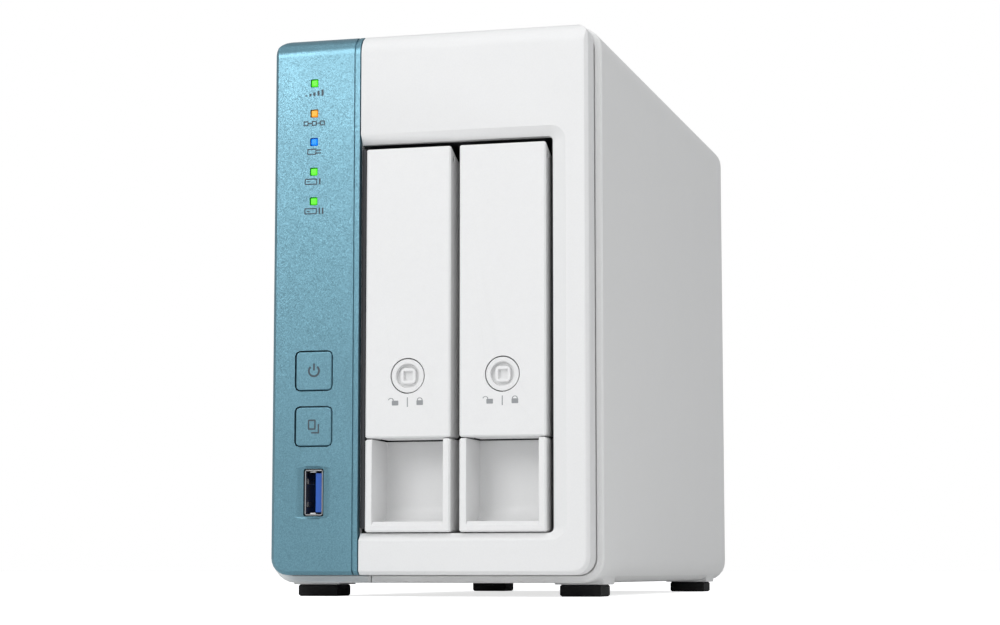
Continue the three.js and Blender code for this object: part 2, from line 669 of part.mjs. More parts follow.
function driveCage() {
  const { left, right, bottom, top, wall, front, back, guideFront, guideBack, guideWall, guideFree } = CAGE;
  const { dividerFront, lipFront, lipLow, lipHigh } = CAGE;
  const divider = (TRAY_XS[0] + TRAY_XS[1]) / 2;
  const bays = [
    rectangle(left + wall, bottom + wall, divider - wall / 2, top - wall),
    rectangle(divider + wall / 2, bottom + wall, right - wall, top - wall),
  ];
  const mouth = rectangle(left + wall, bottom + wall, right - wall, top - wall);
  const tube = plateY(rectangle(left, bottom, right, top), front, back, bays).subtract(
    prismY(mouth, front - PAST, dividerFront),
  );
  const lip = block(left, lipFront, lipLow, left + wall, front + PAST, lipHigh);
  const railLow = DRIVE.bottom - GAP - CARRIER.rail;
  const railHigh = DRIVE.top + GAP + CARRIER.rail;
  const guides = TRAY_XS.flatMap((x) =>
    [-1, 1].flatMap((side) => {
      const near = x + side * (CARRIER.runner + guideFree);
      const far = x + side * (CARRIER.runner + guideFree + guideWall);
      const [low, high] = [Math.min(near, far), Math.max(near, far)];
      return [
        block(low, guideFront, bottom + wall / 2, high, guideBack, railLow - GAP),
        block(low, guideFront, railHigh + GAP, high, guideBack, top - wall / 2),
      ];
    }),
  );
  return join([tube, lip, ...guides]);
}

function backplane() {
  const { left, right, bottom, top, front, thick } = BACKPLANE;
  return block(left, front, bottom, right, front + thick, top);
}

function driveSocket(x) {
  const { low, high, left, right, front, slotLeft, slotRight, slotEnd } = SOCKET;
  const body = block(x + left, front, low, x + right, BACKPLANE.front - GAP, high);
  const slot = block(
    x + slotLeft, front - PAST, TONGUE.low - slotEnd, x + slotRight, TONGUE.back + GAP, TONGUE.high + slotEnd,
  );
  return body.subtract(slot);
}

function mainBoard() {
  const { left, thick, front, back, bottom, top } = MAIN_BOARD;
  return block(left, front, bottom, left + thick, back, top);
}

function heatSink() {
  const { front, back, low, high, base, reach, fins, fin } = HEAT_SINK;
  const left = MAIN_BOARD.left + MAIN_BOARD.thick + GAP;
  const pitch = (back - front - fin) / (fins - 1);
  const plate = block(left, front, low, left + base, back, high);
  const blades = Array.from({ length: fins }, (_, i) => {
    const y = front + i * pitch;
    return block(left, y, low, left + reach, y + fin, high);
  });
  return join([plate, ...blades]);
}

function coinCell() {
  const { radius, thick, y, z } = COIN_CELL;
  const left = MAIN_BOARD.left + MAIN_BOARD.thick + GAP;
  return rodX(y, z, radius, left, left + thick, 24);
}

// ---------------------------------------------------------------- rear panel and fan

// One arc-shaped slot of the stamped fan grille.
function grilleSlot(radius, width, from, to) {
  const steps = Math.max(GRILLE.fewestChords, Math.round(((to - from) * radius) / GRILLE.chord));
  return [
    ...arc(FAN.x, FAN.z, radius + width, from, to, steps),
    ...arc(FAN.x, FAN.z, radius, to, from, steps),
  ];
}

function grilleSlots() {
  const { rings, inner, step, slot, spoke, arcs } = GRILLE;
  const share = (2 * Math.PI) / arcs;
  return Array.from({ length: rings }, (_, ring) => {
    const radius = inner + ring * step;
    const spokeHalf = spoke / 2 / (radius + slot / 2);
    return Array.from({ length: arcs }, (__, i) => {
      const start = Math.PI / 4 + i * share;
      return grilleSlot(radius, slot, start + spokeHalf, start + share - spokeHalf);
    });
  }).flat();
}

const fanScrewPlaces = () =>
  [-1, 1].flatMap((across) =>
    [-1, 1].map((up) => [FAN.x + (across * FAN.screwPitch) / 2, FAN.z + (up * FAN.screwPitch) / 2]),
  );

const caseScrewPlaces = () => [
  [CASE_POST.x, CASE_POST.high],
  [CASE_POST.x, CASE_POST.low],
  [-CASE_POST.x, CASE_POST.high],
];

function rearPanel() {
  const { halfWidth, bottom, top, corner, front, back } = REAR;
  const vents = Array.from({ length: TOP_VENTS.count }, (_, i) => {
    const x = TOP_VENTS.firstX + i * TOP_VENTS.pitch;
    return roundedRectangle(x, TOP_VENTS.low, x + TOP_VENTS.width, TOP_VENTS.high, TOP_VENTS.corner, 2);
  });
  const portWindow = (left, middle, across, long) =>
    rectangle(left - GAP, middle - long / 2 - GAP, left + across + GAP, middle + long / 2 + GAP);
  const tether = TETHER_SLOT;
  const windows = [
    ...grilleSlots(),
    ...vents,
    ...[...fanScrewPlaces(), ...caseScrewPlaces()].map(([x, z]) => circle(x, z, SCREW.hole, 12)),
    ...REAR_USB.heights.map((z) => portWindow(REAR_USB.x - USB.across / 2, z, USB.across, USB.long)),
    portWindow(PORT_X, NETWORK_PORT.z, NETWORK_PORT.across, NETWORK_PORT.wide),
    portWindow(PORT_X, POWER_JACK.z, POWER_JACK.across, POWER_JACK.wide),
    circle(RESET.x, RESET.z, RESET.hole, 16),
    roundedRectangle(
      tether.x - tether.wide / 2, tether.z - tether.high / 2,
      tether.x + tether.wide / 2, tether.z + tether.high / 2, tether.corner, 2,
    ),
  ];
  const outline = roundedRectangle(-halfWidth, bottom, halfWidth, top, corner);
  return plateY(outline, front, back, windows);
}

function fanFrame() {
  const { x, z, half, corner, front, back, bore, motor, motorDepth, strut, shaft } = FAN;
  const screwHoles = fanScrewPlaces().map(([sx, sz]) => circle(sx, sz, SCREW.hole, 12));
  const square = roundedRectangle(x - half, z - half, x + half, z + half, corner, 3);
  const ring = plateY(square, front, back, [circle(x, z, bore, 40), ...screwHoles]);
  const reach = bore + PAST;
  const struts = [
    block(x - reach, front, z - strut / 2, x + reach, front + motorDepth, z + strut / 2),
    block(x - strut / 2, front, z - reach, x + strut / 2, front + motorDepth, z + reach),
  ];
  const holder = rodY(x, z, motor, front, front + motorDepth, 24);
  const bearing = rodY(x, z, shaft + GAP, front - PAST, front + motorDepth + PAST, 12);
  return cut(join([ring, ...struts, holder]), [bearing]);
}

function fanRotor() {
  const { x, z, front, motorDepth, hub, shaft } = FAN;
  const { bladeTip, bladeFront, bladeBack, blades, bladeThick, bladeTwist, bladeRoot } = FAN;
  const hubFront = front + motorDepth + GAP;
  const cup = rodY(0, 0, hub, hubFront, bladeBack + GAP, 28);
  const spindle = rodY(0, 0, shaft, front + GAP, hubFront + PAST, 12);
  const middle = (bladeFront + bladeBack) / 2;
  const span = bladeBack - bladeFront;
  const lean = span * bladeTwist;
  // Each blade is a slanted strip that reaches from inside the hub to the tip.
  const strip = [
    point(bladeFront, lean),
    point(middle, -bladeThick / 2),
    point(bladeBack, -lean),
    point(bladeBack, -lean + bladeThick),
    point(middle, bladeThick),
    point(bladeFront, lean + bladeThick),
  ];
  const tip = rodY(0, 0, bladeTip, bladeFront - PAST, bladeBack + PAST, 40);
  const blade = prismX(strip, hub - bladeRoot, bladeTip + PAST).intersect(tip);
  const wheel = Array.from({ length: blades }, (_, i) => blade.rotate([0, (360 / blades) * i, 0]));
  return join([cup, spindle, ...wheel]).translate([x, 0, z]);
}

function screw(x, z) {
  const { head, shank, tip, cross, crossWidth, crossDepth, shoulder } = SCREW;
  const seat = REAR.back + GAP;
  const profile = [
    point(0, tip),
    point(shank, tip),
    point(shank, seat),
    point(head, seat),
    point(head, REAR_LIMIT - shoulder),
    point(head - shoulder, REAR_LIMIT),
    point(0, REAR_LIMIT),
  ];
  const body = solidOf(new THREE.LatheGeometry(profile, 16).translate(x, 0, z));
  const slot = (halfX, halfZ) =>
    block(x - halfX, REAR_LIMIT - crossDepth, z - halfZ, x + halfX, REAR_LIMIT + PAST, z + halfZ);
  return cut(body, [slot(cross / 2, crossWidth / 2), slot(crossWidth / 2, cross / 2)]);
}

// ---------------------------------------------------------------- assembly

const finish = (color, roughness, metalness = 0) =>
  new THREE.MeshStandardMaterial({ color, roughness, metalness });

const FINISHES = {
  whitePlastic: () => finish(WHITE, 0.55),
  tealPlastic: () => finish(TEAL, 0.4, 0.2),
  greyPlastic: () => finish(0x383838, 0.6),
  rubber: () => finish(0x222222, 0.9),
  steel: () => finish(0xb9bdc0, 0.35, 0.9),
  castAluminium: () => finish(0x9a9da0, 0.5, 0.8),
  greenBoard: () => finish(0x1d5c3a, 0.5),
  bluePlastic: () => finish(0x1f5bb8, 0.5),
  blackPlastic: () => finish(0x161616, 0.45),
  greenLight: () => finish(0x3fdf10, 0.3),
  orangeLight: () => finish(0xff9a20, 0.3),
  blueLight: () => finish(0x1080ff, 0.3),
};

const LIGHT_FINISHES = {
  status: "greenLight", network: "orangeLight", port: "blueLight", disk_1: "greenLight", disk_2: "greenLight",
};

function add(group, name, solid, finishName) {
  const mesh = new THREE.Mesh(geometryOf(solid), FINISHES[finishName]());
  mesh.name = name;
  group.add(mesh);
}

function buildFront() {
  const front = new THREE.Group();
  add(front, "front_bezel", frontBezel(), "whitePlastic");
  add(front, "accent_panel", accentPanel(), "tealPlastic");
  for (const [name, z] of Object.entries(LIGHT_HEIGHTS)) {
    add(front, `${name}_light`, statusLight(z), LIGHT_FINISHES[name]);
  }
  for (const [name, z] of Object.entries(BUTTON_HEIGHTS)) {
    add(front, `${name}_button`, pushButton(z), "tealPlastic");
    add(front, `${name}_switch`, buttonSwitch(z), "blackPlastic");
  }
  add(front, "front_board", frontBoard(), "greenBoard");
  add(front, "front_usb_sleeve", usbSleeve(COLUMN_X, FRONT_USB.z, FRONT_USB.front, FRONT_USB.back), "steel");
  const frontCore = usbCore(COLUMN_X, FRONT_USB.z, FRONT_USB.back, FRONT_USB.front);
  add(front, "front_usb_core", frontCore, "bluePlastic");
  return front;
}

function buildCasing() {
  const casingGroup = new THREE.Group();
  add(casingGroup, "main_shell", rightShell(), "whitePlastic");
  add(casingGroup, "left_cover", leftCover(), "whitePlastic");
  const feet = {
    front_left_foot: [-FOOT.outerX, FOOT.frontY],
    front_right_foot: [FOOT.outerX, FOOT.frontY],
    rear_left_foot: [REAR_LEFT_FOOT_X, FOOT.rearY],
    rear_right_foot: [FOOT.outerX, FOOT.rearY],
  };
  for (const [name, [x, y]] of Object.entries(feet)) {
    add(casingGroup, name, foot(x, y), "rubber");
  }
  return casingGroup;
}

function buildInside() {
  const inside = new THREE.Group();
  add(inside, "drive_cage", driveCage(), "greyPlastic");
  add(inside, "backplane_board", backplane(), "greenBoard");
  TRAY_XS.forEach((x, i) => add(inside, `drive_socket_${i + 1}`, driveSocket(x), "blackPlastic"));
  add(inside, "main_board", mainBoard(), "greenBoard");
  add(inside, "heat_sink", heatSink(), "castAluminium");
  add(inside, "coin_cell", coinCell(), "steel");
  return inside;
}

function buildRear() {
  const rear = new THREE.Group();
  add(rear, "rear_panel", rearPanel(), "whitePlastic");
  add(rear, "fan_frame", fanFrame(), "blackPlastic");
  add(rear, "fan_rotor", fanRotor(), "blackPlastic");
  fanScrewPlaces().forEach(([x, z], i) => add(rear, `fan_screw_${i + 1}`, screw(x, z), "steel"));
  caseScrewPlaces().forEach(([x, z], i) => add(rear, `case_screw_${i + 1}`, screw(x, z), "steel"));
  add(rear, "network_port", networkPort(), "steel");
  REAR_USB.heights.forEach((z, i) => {
    add(rear, `rear_usb_sleeve_${i + 1}`, usbSleeve(REAR_USB.x, z, REAR_USB.front, REAR_USB.back), "steel");
    const core = usbCore(REAR_USB.x, z, REAR_USB.front, REAR_USB.back);
    add(rear, `rear_usb_core_${i + 1}`, core, "blackPlastic");
  });
  add(rear, "power_jack", powerJack(), "blackPlastic");
  add(rear, "reset_button", resetButton(), "blackPlastic");
  return rear;
}

function buildTray(x, number) {
  const tray = new THREE.Group();
  add(tray, `tray_${number}_carrier`, trayCarrier(x), "greyPlastic");
  add(tray, `tray_${number}_grip`, trayGrip(x), "whitePlastic");
  add(tray, `tray_${number}_lever`, trayLever(x), "whitePlastic");
  add(tray, `tray_${number}_hinge_pin`, hingePin(x), "steel");
  add(tray, `tray_${number}_lock`, trayLock(x), "whitePlastic");
  add(tray, `drive_${number}_body`, driveBody(x), "castAluminium");
  add(tray, `drive_${number}_cover`, driveCover(x), "steel");
  add(tray, `drive_${number}_board`, driveBoard(x), "greenBoard");
  return tray;
}

const storageTower = new THREE.Group();
storageTower.add(buildCasing(), buildFront(), buildInside(), buildRear());
TRAY_XS.forEach((x, i) => storageTower.add(buildTray(x, i + 1)));

export default storageTower;
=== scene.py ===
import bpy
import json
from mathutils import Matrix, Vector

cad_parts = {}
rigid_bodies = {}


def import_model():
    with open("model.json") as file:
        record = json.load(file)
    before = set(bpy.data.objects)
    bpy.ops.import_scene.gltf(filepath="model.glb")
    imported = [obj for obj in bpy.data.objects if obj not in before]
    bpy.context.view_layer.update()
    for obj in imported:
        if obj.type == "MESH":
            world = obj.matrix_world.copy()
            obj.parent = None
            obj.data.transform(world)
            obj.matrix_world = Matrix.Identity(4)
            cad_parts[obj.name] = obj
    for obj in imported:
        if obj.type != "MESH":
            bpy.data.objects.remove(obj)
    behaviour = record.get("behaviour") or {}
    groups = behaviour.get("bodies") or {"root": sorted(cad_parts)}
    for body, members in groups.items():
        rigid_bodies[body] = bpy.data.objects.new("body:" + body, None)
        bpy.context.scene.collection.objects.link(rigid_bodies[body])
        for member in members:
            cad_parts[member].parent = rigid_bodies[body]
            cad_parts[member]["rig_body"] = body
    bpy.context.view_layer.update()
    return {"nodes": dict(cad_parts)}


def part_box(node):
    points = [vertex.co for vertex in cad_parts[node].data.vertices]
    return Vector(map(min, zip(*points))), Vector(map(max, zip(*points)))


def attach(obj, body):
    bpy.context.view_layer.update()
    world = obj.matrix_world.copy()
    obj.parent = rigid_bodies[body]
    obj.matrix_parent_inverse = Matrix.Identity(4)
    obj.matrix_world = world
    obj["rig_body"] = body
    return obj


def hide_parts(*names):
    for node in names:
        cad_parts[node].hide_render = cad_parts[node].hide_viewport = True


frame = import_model()

import json
import logging
import math
from dataclasses import dataclass, field
from enum import Enum
from typing import Iterable, Sequence

import bmesh
import bpy
from mathutils import Vector
from mathutils.bvhtree import BVHTree

LOG = logging.getLogger("storage_tower")
# One millimetre, and the distance within which points are joined, in metres.
MM = 0.001
WELD = 2e-6
# Angles between two faces: joined as flat; rounded; kept as a line on the front; folded back.
FLAT = math.radians(0.5)
SHARP = math.radians(33)
CRISP = math.radians(17)
TURNED_BACK = math.radians(150)
# The folded area a rounded piece may have, in mm2, and the radii of length an edge needs to be rounded.
FOLD_LIMIT = 0.05
ROOM = 2.5
BEVEL_STEPS = 3
# The range of slow noise over which gloss changes.
PATCH_LOW, PATCH_HIGH = 0.3, 0.7
DUST_COLOUR = (0.6, 0.59, 0.57)

Colour = tuple[float, float, float]
Outline = list[tuple[float, float]]
Point = tuple[float, float, float]


class Plane(Enum):
    """The plane an outline is drawn in: its two directions, then the way it is thick."""

    FRONT = (0, 2, 1)
    SIDE = (1, 2, 0)
    TOP = (0, 1, 2)


class Effect(Enum):
    """The shared surface effects, by the name of their node group."""

    GRAIN = "Moulded_Grain"
    FLAKE = "Metal_Flake"
    ROLLED = "Rolled_Sheet"
    # A painted highlight along outer edges, which the materials lighten their colour by.
    WEAR = "Edge_Wear"
    TRACES = "Board_Traces"
    DUST = "Settled_Dust"


# ---------------------------------------------------------------- shader effects


def put(tree: bpy.types.NodeTree, kind: str, feeds: dict | None = None, **settings) -> bpy.types.Node:
    """Adds a shader node.

    Args:
        tree: the tree it goes into.
        kind: the node's type, without its "ShaderNode" start.
        feeds: by input name or number, a value or an output socket to link.
        settings: the node's own options.

    Returns:
        The new node.
    """
    node = tree.nodes.new("ShaderNode" + kind)
    for name, value in settings.items():
        setattr(node, name, value)
    for socket, value in (feeds or {}).items():
        if isinstance(value, bpy.types.NodeSocket):
            tree.links.new(value, node.inputs[socket])
        else:
            node.inputs[socket].default_value = value
    return node


def calculate(tree: bpy.types.NodeTree, operation: str, *values) -> bpy.types.NodeSocket:
    """Adds a Math node over the values and returns its result."""
    return put(tree, "Math", dict(enumerate(values)), operation=operation).outputs[0]


def wire(tree: bpy.types.NodeTree, node: bpy.types.Node, **sources: bpy.types.NodeSocket) -> None:
    """Links sockets to a node's inputs, by name with _ for a space."""
    for name, source in sources.items():
        tree.links.new(source, node.inputs[name.replace("_", " ")])


class EffectGroups:
    """Builds each shared effect once, as a node group with named sockets."""

    def __init__(self) -> None:
        """Starts with no group built."""
        self._built: dict[Effect, bpy.types.NodeTree] = {}

    def place(self, tree: bpy.types.NodeTree, effect: Effect, **values) -> bpy.types.Node:
        """Places an effect in a material.

        Args:
            tree: the material's node tree.
            effect: which effect.
            values: the group's inputs, by name with _ for a space.

        Returns:
            The group node.
        """
        if effect not in self._built:
            self._built[effect] = getattr(self, "_" + effect.name.lower())()
        node = tree.nodes.new("ShaderNodeGroup")
        node.node_tree = self._built[effect]
        for name, value in values.items():
            node.inputs[name.replace("_", " ")].default_value = value
        return node

    @staticmethod
    def _open(effect: Effect, inputs: dict[str, float], outputs: Sequence[str]) -> tuple:
        """Makes an empty group.

        Args:
            effect: the effect it is for.
            inputs: value inputs with their defaults.
            outputs: output names; one that ends in Normal is a vector.

        Returns:
            The tree, its input node and its output node.
        """
        tree = bpy.data.node_groups.new(effect.value, "ShaderNodeTree")
        for name, value in inputs.items():
            socket = tree.interface.new_socket(name=name, in_out="INPUT", socket_type="NodeSocketFloat")
            socket.default_value = value
        for name in outputs:
            kind = "NodeSocketVector" if name.endswith("Normal") else "NodeSocketFloat"
            tree.interface.new_socket(name=name, in_out="OUTPUT", socket_type=kind)
        return tree, tree.nodes.new("NodeGroupInput"), tree.nodes.new("NodeGroupOutput")

    def _grain(self) -> bpy.types.NodeTree:
        """Moulded grain: Height and Tone at the grain's Size in metres, and slow Patch variation."""
        tree, given, out = self._open(Effect.GRAIN, {"Size": 0.0004}, ("Height", "Tone", "Patch"))
        where = put(tree, "TexCoord").outputs["Object"]
        scale = calculate(tree, "DIVIDE", 1.0, given.outputs["Size"])
        fine = put(tree, "TexNoise", {"Vector": where, "Scale": scale, "Detail": 2.0, "Roughness": 0.6})
        pits = put(tree, "TexVoronoi", {"Vector": where, "Scale": scale})
        slow = put(tree, "TexNoise", {"Vector": where, "Scale": 38.0, "Detail": 3.0})
        height = calculate(tree, "MULTIPLY_ADD", pits.outputs["Distance"], 0.5, fine.outputs[0])
        wire(tree, out, Height=height, Tone=fine.outputs[0], Patch=slow.outputs[0])
        return tree

    def _flake(self) -> bpy.types.NodeTree:
        """Metal flakes in paint: each flake's Tone, and the Normal it is tilted to."""
        tree, given, out = self._open(Effect.FLAKE, {"Size": 0.0003, "Tilt": 0.2}, ("Tone", "Normal"))
        where = put(tree, "TexCoord").outputs["Object"]
        scale = calculate(tree, "DIVIDE", 1.0, given.outputs["Size"])
        flakes = put(tree, "TexVoronoi", {"Vector": where, "Scale": scale})
        colour = put(tree, "SeparateXYZ", {0: flakes.outputs["Color"]})
        middle = (0.5, 0.5, 0.5)
        lean = put(tree, "VectorMath", {0: flakes.outputs["Color"], 1: middle}, operation="SUBTRACT")
        amount = {0: lean.outputs[0], "Scale": given.outputs["Tilt"]}
        tilt = put(tree, "VectorMath", amount, operation="SCALE")
        normal = put(tree, "NewGeometry").outputs["Normal"]
        leaning = put(tree, "VectorMath", {0: normal, 1: tilt.outputs[0]}, operation="ADD")
        unit = put(tree, "VectorMath", {0: leaning.outputs[0]}, operation="NORMALIZE")
        wire(tree, out, Tone=colour.outputs[0], Normal=unit.outputs[0])
        return tree

    def _rolled(self) -> bpy.types.NodeTree:
        """Rolled or brushed metal: Height and Tone drawn out along Z by Stretch, and slow Patch variation."""
        defaults = {"Size": 0.0002, "Stretch": 20.0}
        tree, given, out = self._open(Effect.ROLLED, defaults, ("Height", "Tone", "Patch"))
        where = put(tree, "TexCoord").outputs["Object"]
        scale = calculate(tree, "DIVIDE", 1.0, given.outputs["Size"])
        along = calculate(tree, "DIVIDE", 1.0, given.outputs["Stretch"])
        spread = put(tree, "CombineXYZ", {0: 1.0, 1: 1.0, 2: along})
        drawn = put(tree, "VectorMath", {0: where, 1: spread.outputs[0]}, operation="MULTIPLY")
        lines = put(tree, "TexNoise", {"Vector": drawn.outputs[0], "Scale": scale, "Detail": 3.0})
        slow = put(tree, "TexNoise", {"Vector": where, "Scale": 60.0, "Detail": 4.0})
        wire(tree, out, Height=lines.outputs[0], Tone=lines.outputs[0], Patch=slow.outputs[0])
        return tree

    def _wear(self) -> bpy.types.NodeTree:
        """Painted edge highlight: a Mask that is 1 on outer edges, broken up by noise, times Amount."""
        tree, given, out = self._open(Effect.WEAR, {"Amount": 0.5}, ("Mask",))
        where = put(tree, "TexCoord").outputs["Object"]
        edge = put(tree, "MapRange", {0: put(tree, "NewGeometry").outputs["Pointiness"], 1: 0.52, 2: 0.6})
        broken = put(tree, "TexNoise", {"Vector": where, "Scale": 420.0, "Detail": 3.0})
        some = calculate(tree, "MULTIPLY", edge.outputs[0], broken.outputs[0])
        mask = calculate(tree, "MULTIPLY", some, given.outputs["Amount"])
        tree.links.new(mask, out.inputs["Mask"])
        return tree

    def _traces(self) -> bpy.types.NodeTree:
        """Circuit board: Trace is 1 on buried tracks and Pad is 1 on tinned pads and vias."""
        tree, given, out = self._open(Effect.TRACES, {"Pitch": 0.0011}, ("Trace", "Pad"))
        where = put(tree, "SeparateXYZ", {0: put(tree, "TexCoord").outputs["Object"]})
        facing = put(tree, "SeparateXYZ", {0: put(tree, "NewGeometry").outputs["True Normal"]})
        sideways = calculate(tree, "GREATER_THAN", calculate(tree, "ABSOLUTE", facing.outputs[0]), 0.5)
        across = put(tree, "Mix", {0: sideways, 2: where.outputs[0], 3: where.outputs[1]}).outputs[0]
        flat = put(tree, "CombineXYZ", {0: across, 1: where.outputs[2]}).outputs[0]
        blocks = put(tree, "TexVoronoi", {"Vector": flat, "Scale": 95.0}, distance="CHEBYCHEV")
        kind = put(tree, "SeparateXYZ", {0: blocks.outputs["Color"]})
        turned = calculate(tree, "GREATER_THAN", kind.outputs[0], 0.5)
        run = put(tree, "Mix", {0: turned, 2: across, 3: where.outputs[2]}).outputs[0]
        phase = calculate(tree, "FRACT", calculate(tree, "DIVIDE", run, given.outputs["Pitch"]))
        line = calculate(tree, "LESS_THAN", phase, 0.36)
        used = calculate(tree, "GREATER_THAN", kind.outputs[1], 0.3)
        vias = put(tree, "TexVoronoi", {"Vector": flat, "Scale": 330.0, "Randomness": 0.55})
        spot = calculate(tree, "LESS_THAN", vias.outputs["Distance"], 0.14)
        chosen = put(tree, "SeparateXYZ", {0: vias.outputs["Color"]})
        kept = calculate(tree, "MULTIPLY", spot, calculate(tree, "GREATER_THAN", chosen.outputs[0], 0.45))
        tree.links.new(calculate(tree, "MULTIPLY", line, used), out.inputs["Trace"])
        tree.links.new(kept, out.inputs["Pad"])
        return tree

    def _dust(self) -> bpy.types.NodeTree:
        """Fine dust: a Mask on faces that look up, in soft patches, times Amount."""
        tree, given, out = self._open(Effect.DUST, {"Amount": 0.1}, ("Mask",))
        facing = put(tree, "SeparateXYZ", {0: put(tree, "NewGeometry").outputs["Normal"]})
        where = put(tree, "TexCoord").outputs["Object"]
        patches = put(tree, "TexNoise", {"Vector": where, "Scale": 90.0, "Detail": 5.0})
        upward = put(tree, "MapRange", {0: facing.outputs[2], 1: 0.3, 2: 1.0})
        some = calculate(tree, "MULTIPLY", upward.outputs[0], patches.outputs[0])
        tree.links.new(calculate(tree, "MULTIPLY", some, given.outputs["Amount"]), out.inputs["Mask"])
        return tree


EFFECTS = EffectGroups()


# ---------------------------------------------------------------- finishes


def material_of(name: str) -> tuple[bpy.types.Material, bpy.types.NodeTree, bpy.types.Node]:
    """Makes an empty material.

    Args:
        name: the material's name.

    Returns:
        The material, its node tree and its Principled shader.
    """
    material = bpy.data.materials.new(name)
    material.use_nodes = True
    return material, material.node_tree, material.node_tree.nodes["Principled BSDF"]


def between(tree: bpy.types.NodeTree, mask: bpy.types.NodeSocket, low: Colour | bpy.types.NodeSocket,
            high: Colour | bpy.types.NodeSocket) -> bpy.types.NodeSocket:
    """Blends two colours by a mask.

    Args:
        tree: the material's node tree.
        mask: the blend, 0 to 1.
        low: the colour, or socket, at 0.
        high: the colour, or socket, at 1.

    Returns:
        The blended colour.
    """
    ends = [end if isinstance(end, bpy.types.NodeSocket) else (*end, 1.0) for end in (low, high)]
    node = put(tree, "Mix", {0: mask, 6: ends[0], 7: ends[1]}, data_type="RGBA")
    return node.outputs[2]


def gloss_of(tree: bpy.types.NodeTree, patch: bpy.types.NodeSocket, roughness: float,
             swing: float) -> bpy.types.NodeSocket:
    """Returns a roughness that changes slowly, by the swing either way."""
    ends = {0: patch, 1: PATCH_LOW, 2: PATCH_HIGH, 3: roughness - swing, 4: roughness + swing}
    return put(tree, "MapRange", ends).outputs[0]


def shaded(colour: Colour, factor: float) -> Colour:
    """Returns the colour made lighter or darker by a factor."""
    return tuple(min(1.0, part * factor) for part in colour)


@dataclass(frozen=True)
class Moulding:
    """Moulded plastic, rubber or powder coat, with its grain, slow gloss changes, a painted highlight along
    outer edges, and dust.
    """

    name: str
    slot: str
    colour: Colour
    roughness: float = 0.5
    grain: float = 0.45
    relief: float = 0.012
    spread: float = 0.03
    # Strength of the painted highlight along outer edges; the lift below is how far it lightens the colour.
    wear: float = 0.15
    dust: float = 0.05
    specular: float = 0.5
    glow: float = 0.0
    lift: float = 1.35
    swing: float = 0.05

    def make(self) -> bpy.types.Material:
        """Builds the material and returns it."""
        material, tree, shader = material_of(self.name)
        grain = EFFECTS.place(tree, Effect.GRAIN, Size=self.grain * MM)
        wear = EFFECTS.place(tree, Effect.WEAR, Amount=self.wear)
        dust = EFFECTS.place(tree, Effect.DUST, Amount=self.dust)
        low, high = shaded(self.colour, 1 - self.spread), shaded(self.colour, 1 + self.spread)
        tone = between(tree, grain.outputs["Tone"], low, high)
        # Painted highlight: outer edges lightened by the lift factor.
        highlighted = between(tree, wear.outputs["Mask"], tone, shaded(self.colour, self.lift))
        base = between(tree, dust.outputs["Mask"], highlighted, DUST_COLOUR)
        gloss = gloss_of(tree, grain.outputs["Patch"], self.roughness, self.swing)
        bump = put(tree, "Bump", {"Height": grain.outputs["Height"], "Distance": self.relief * MM})
        wire(tree, shader, Base_Color=base, Roughness=gloss, Normal=bump.outputs[0])
        shader.inputs["Specular IOR Level"].default_value = self.specular
        if self.glow:
            tree.links.new(tone, shader.inputs["Emission Color"])
            shader.inputs["Emission Strength"].default_value = self.glow
        return material


@dataclass(frozen=True)
class FlakePaint:
    """Satin paint with fine metal flakes under a thin clear coat."""

    name: str
    slot: str
    colour: Colour
    metallic: float = 0.6
    roughness: float = 0.4
    flake: float = 0.25
    tilt: float = 0.1
    spread: float = 0.1
    grain: float = 0.3
    relief: float = 0.0015
    # Strength of the painted highlight along outer edges; the lift below is how far it lightens the colour.
    wear: float = 0.12
    lift: float = 1.6
    swing: float = 0.04
    coat: float = 0.15
    coat_roughness: float = 0.2

    def make(self) -> bpy.types.Material:
        """Builds the material and returns it."""
        material, tree, shader = material_of(self.name)
        flake = EFFECTS.place(tree, Effect.FLAKE, Size=self.flake * MM, Tilt=self.tilt)
        grain = EFFECTS.place(tree, Effect.GRAIN, Size=self.grain * MM)
        wear = EFFECTS.place(tree, Effect.WEAR, Amount=self.wear)
        low, high = shaded(self.colour, 1 - self.spread), shaded(self.colour, 1 + self.spread)
        tone = between(tree, flake.outputs["Tone"], low, high)
        # Painted highlight: outer edges lightened by the lift factor.
        base = between(tree, wear.outputs["Mask"], tone, shaded(self.colour, self.lift))
        gloss = gloss_of(tree, grain.outputs["Patch"], self.roughness, self.swing)
        bump = put(tree, "Bump", {
            "Height": grain.outputs["Height"], "Distance": self.relief * MM,
            "Normal": flake.outputs["Normal"],
        })
        wire(tree, shader, Base_Color=base, Roughness=gloss, Normal=bump.outputs[0])
        shader.inputs["Metallic"].default_value = self.metallic
        shader.inputs["Coat Weight"].default_value = self.coat
        shader.inputs["Coat Roughness"].default_value = self.coat_roughness
        return material


@dataclass(frozen=True)
class Metal:
    """Bare or plated metal, rolled, drawn or cast."""

    name: str
    slot: str
    colour: Colour
    roughness: float = 0.35
    size: float = 0.15
    stretch: float = 18.0
    relief: float = 0.004
    spread: float = 0.08
    # Strength of the painted highlight along outer edges; the lift below is how far it lightens the colour.
    wear: float = 0.5
    lift: float = 1.25
    swing: float = 0.08

    def make(self) -> bpy.types.Material:
        """Builds the material and returns it."""
        material, tree, shader = material_of(self.name)
        lines = EFFECTS.place(tree, Effect.ROLLED, Size=self.size * MM, Stretch=self.stretch)
        wear = EFFECTS.place(tree, Effect.WEAR, Amount=self.wear)
        low, high = shaded(self.colour, 1 - self.spread), shaded(self.colour, 1 + self.spread)
        tone = between(tree, lines.outputs["Tone"], low, high)
        # Painted highlight: outer edges lightened by the lift factor.
        base = between(tree, wear.outputs["Mask"], tone, shaded(self.colour, self.lift))
        gloss = gloss_of(tree, lines.outputs["Patch"], self.roughness, self.swing)
        bump = put(tree, "Bump", {"Height": lines.outputs["Height"], "Distance": self.relief * MM})
        wire(tree, shader, Base_Color=base, Roughness=gloss, Normal=bump.outputs[0])
        shader.inputs["Metallic"].default_value = 1.0
        return material


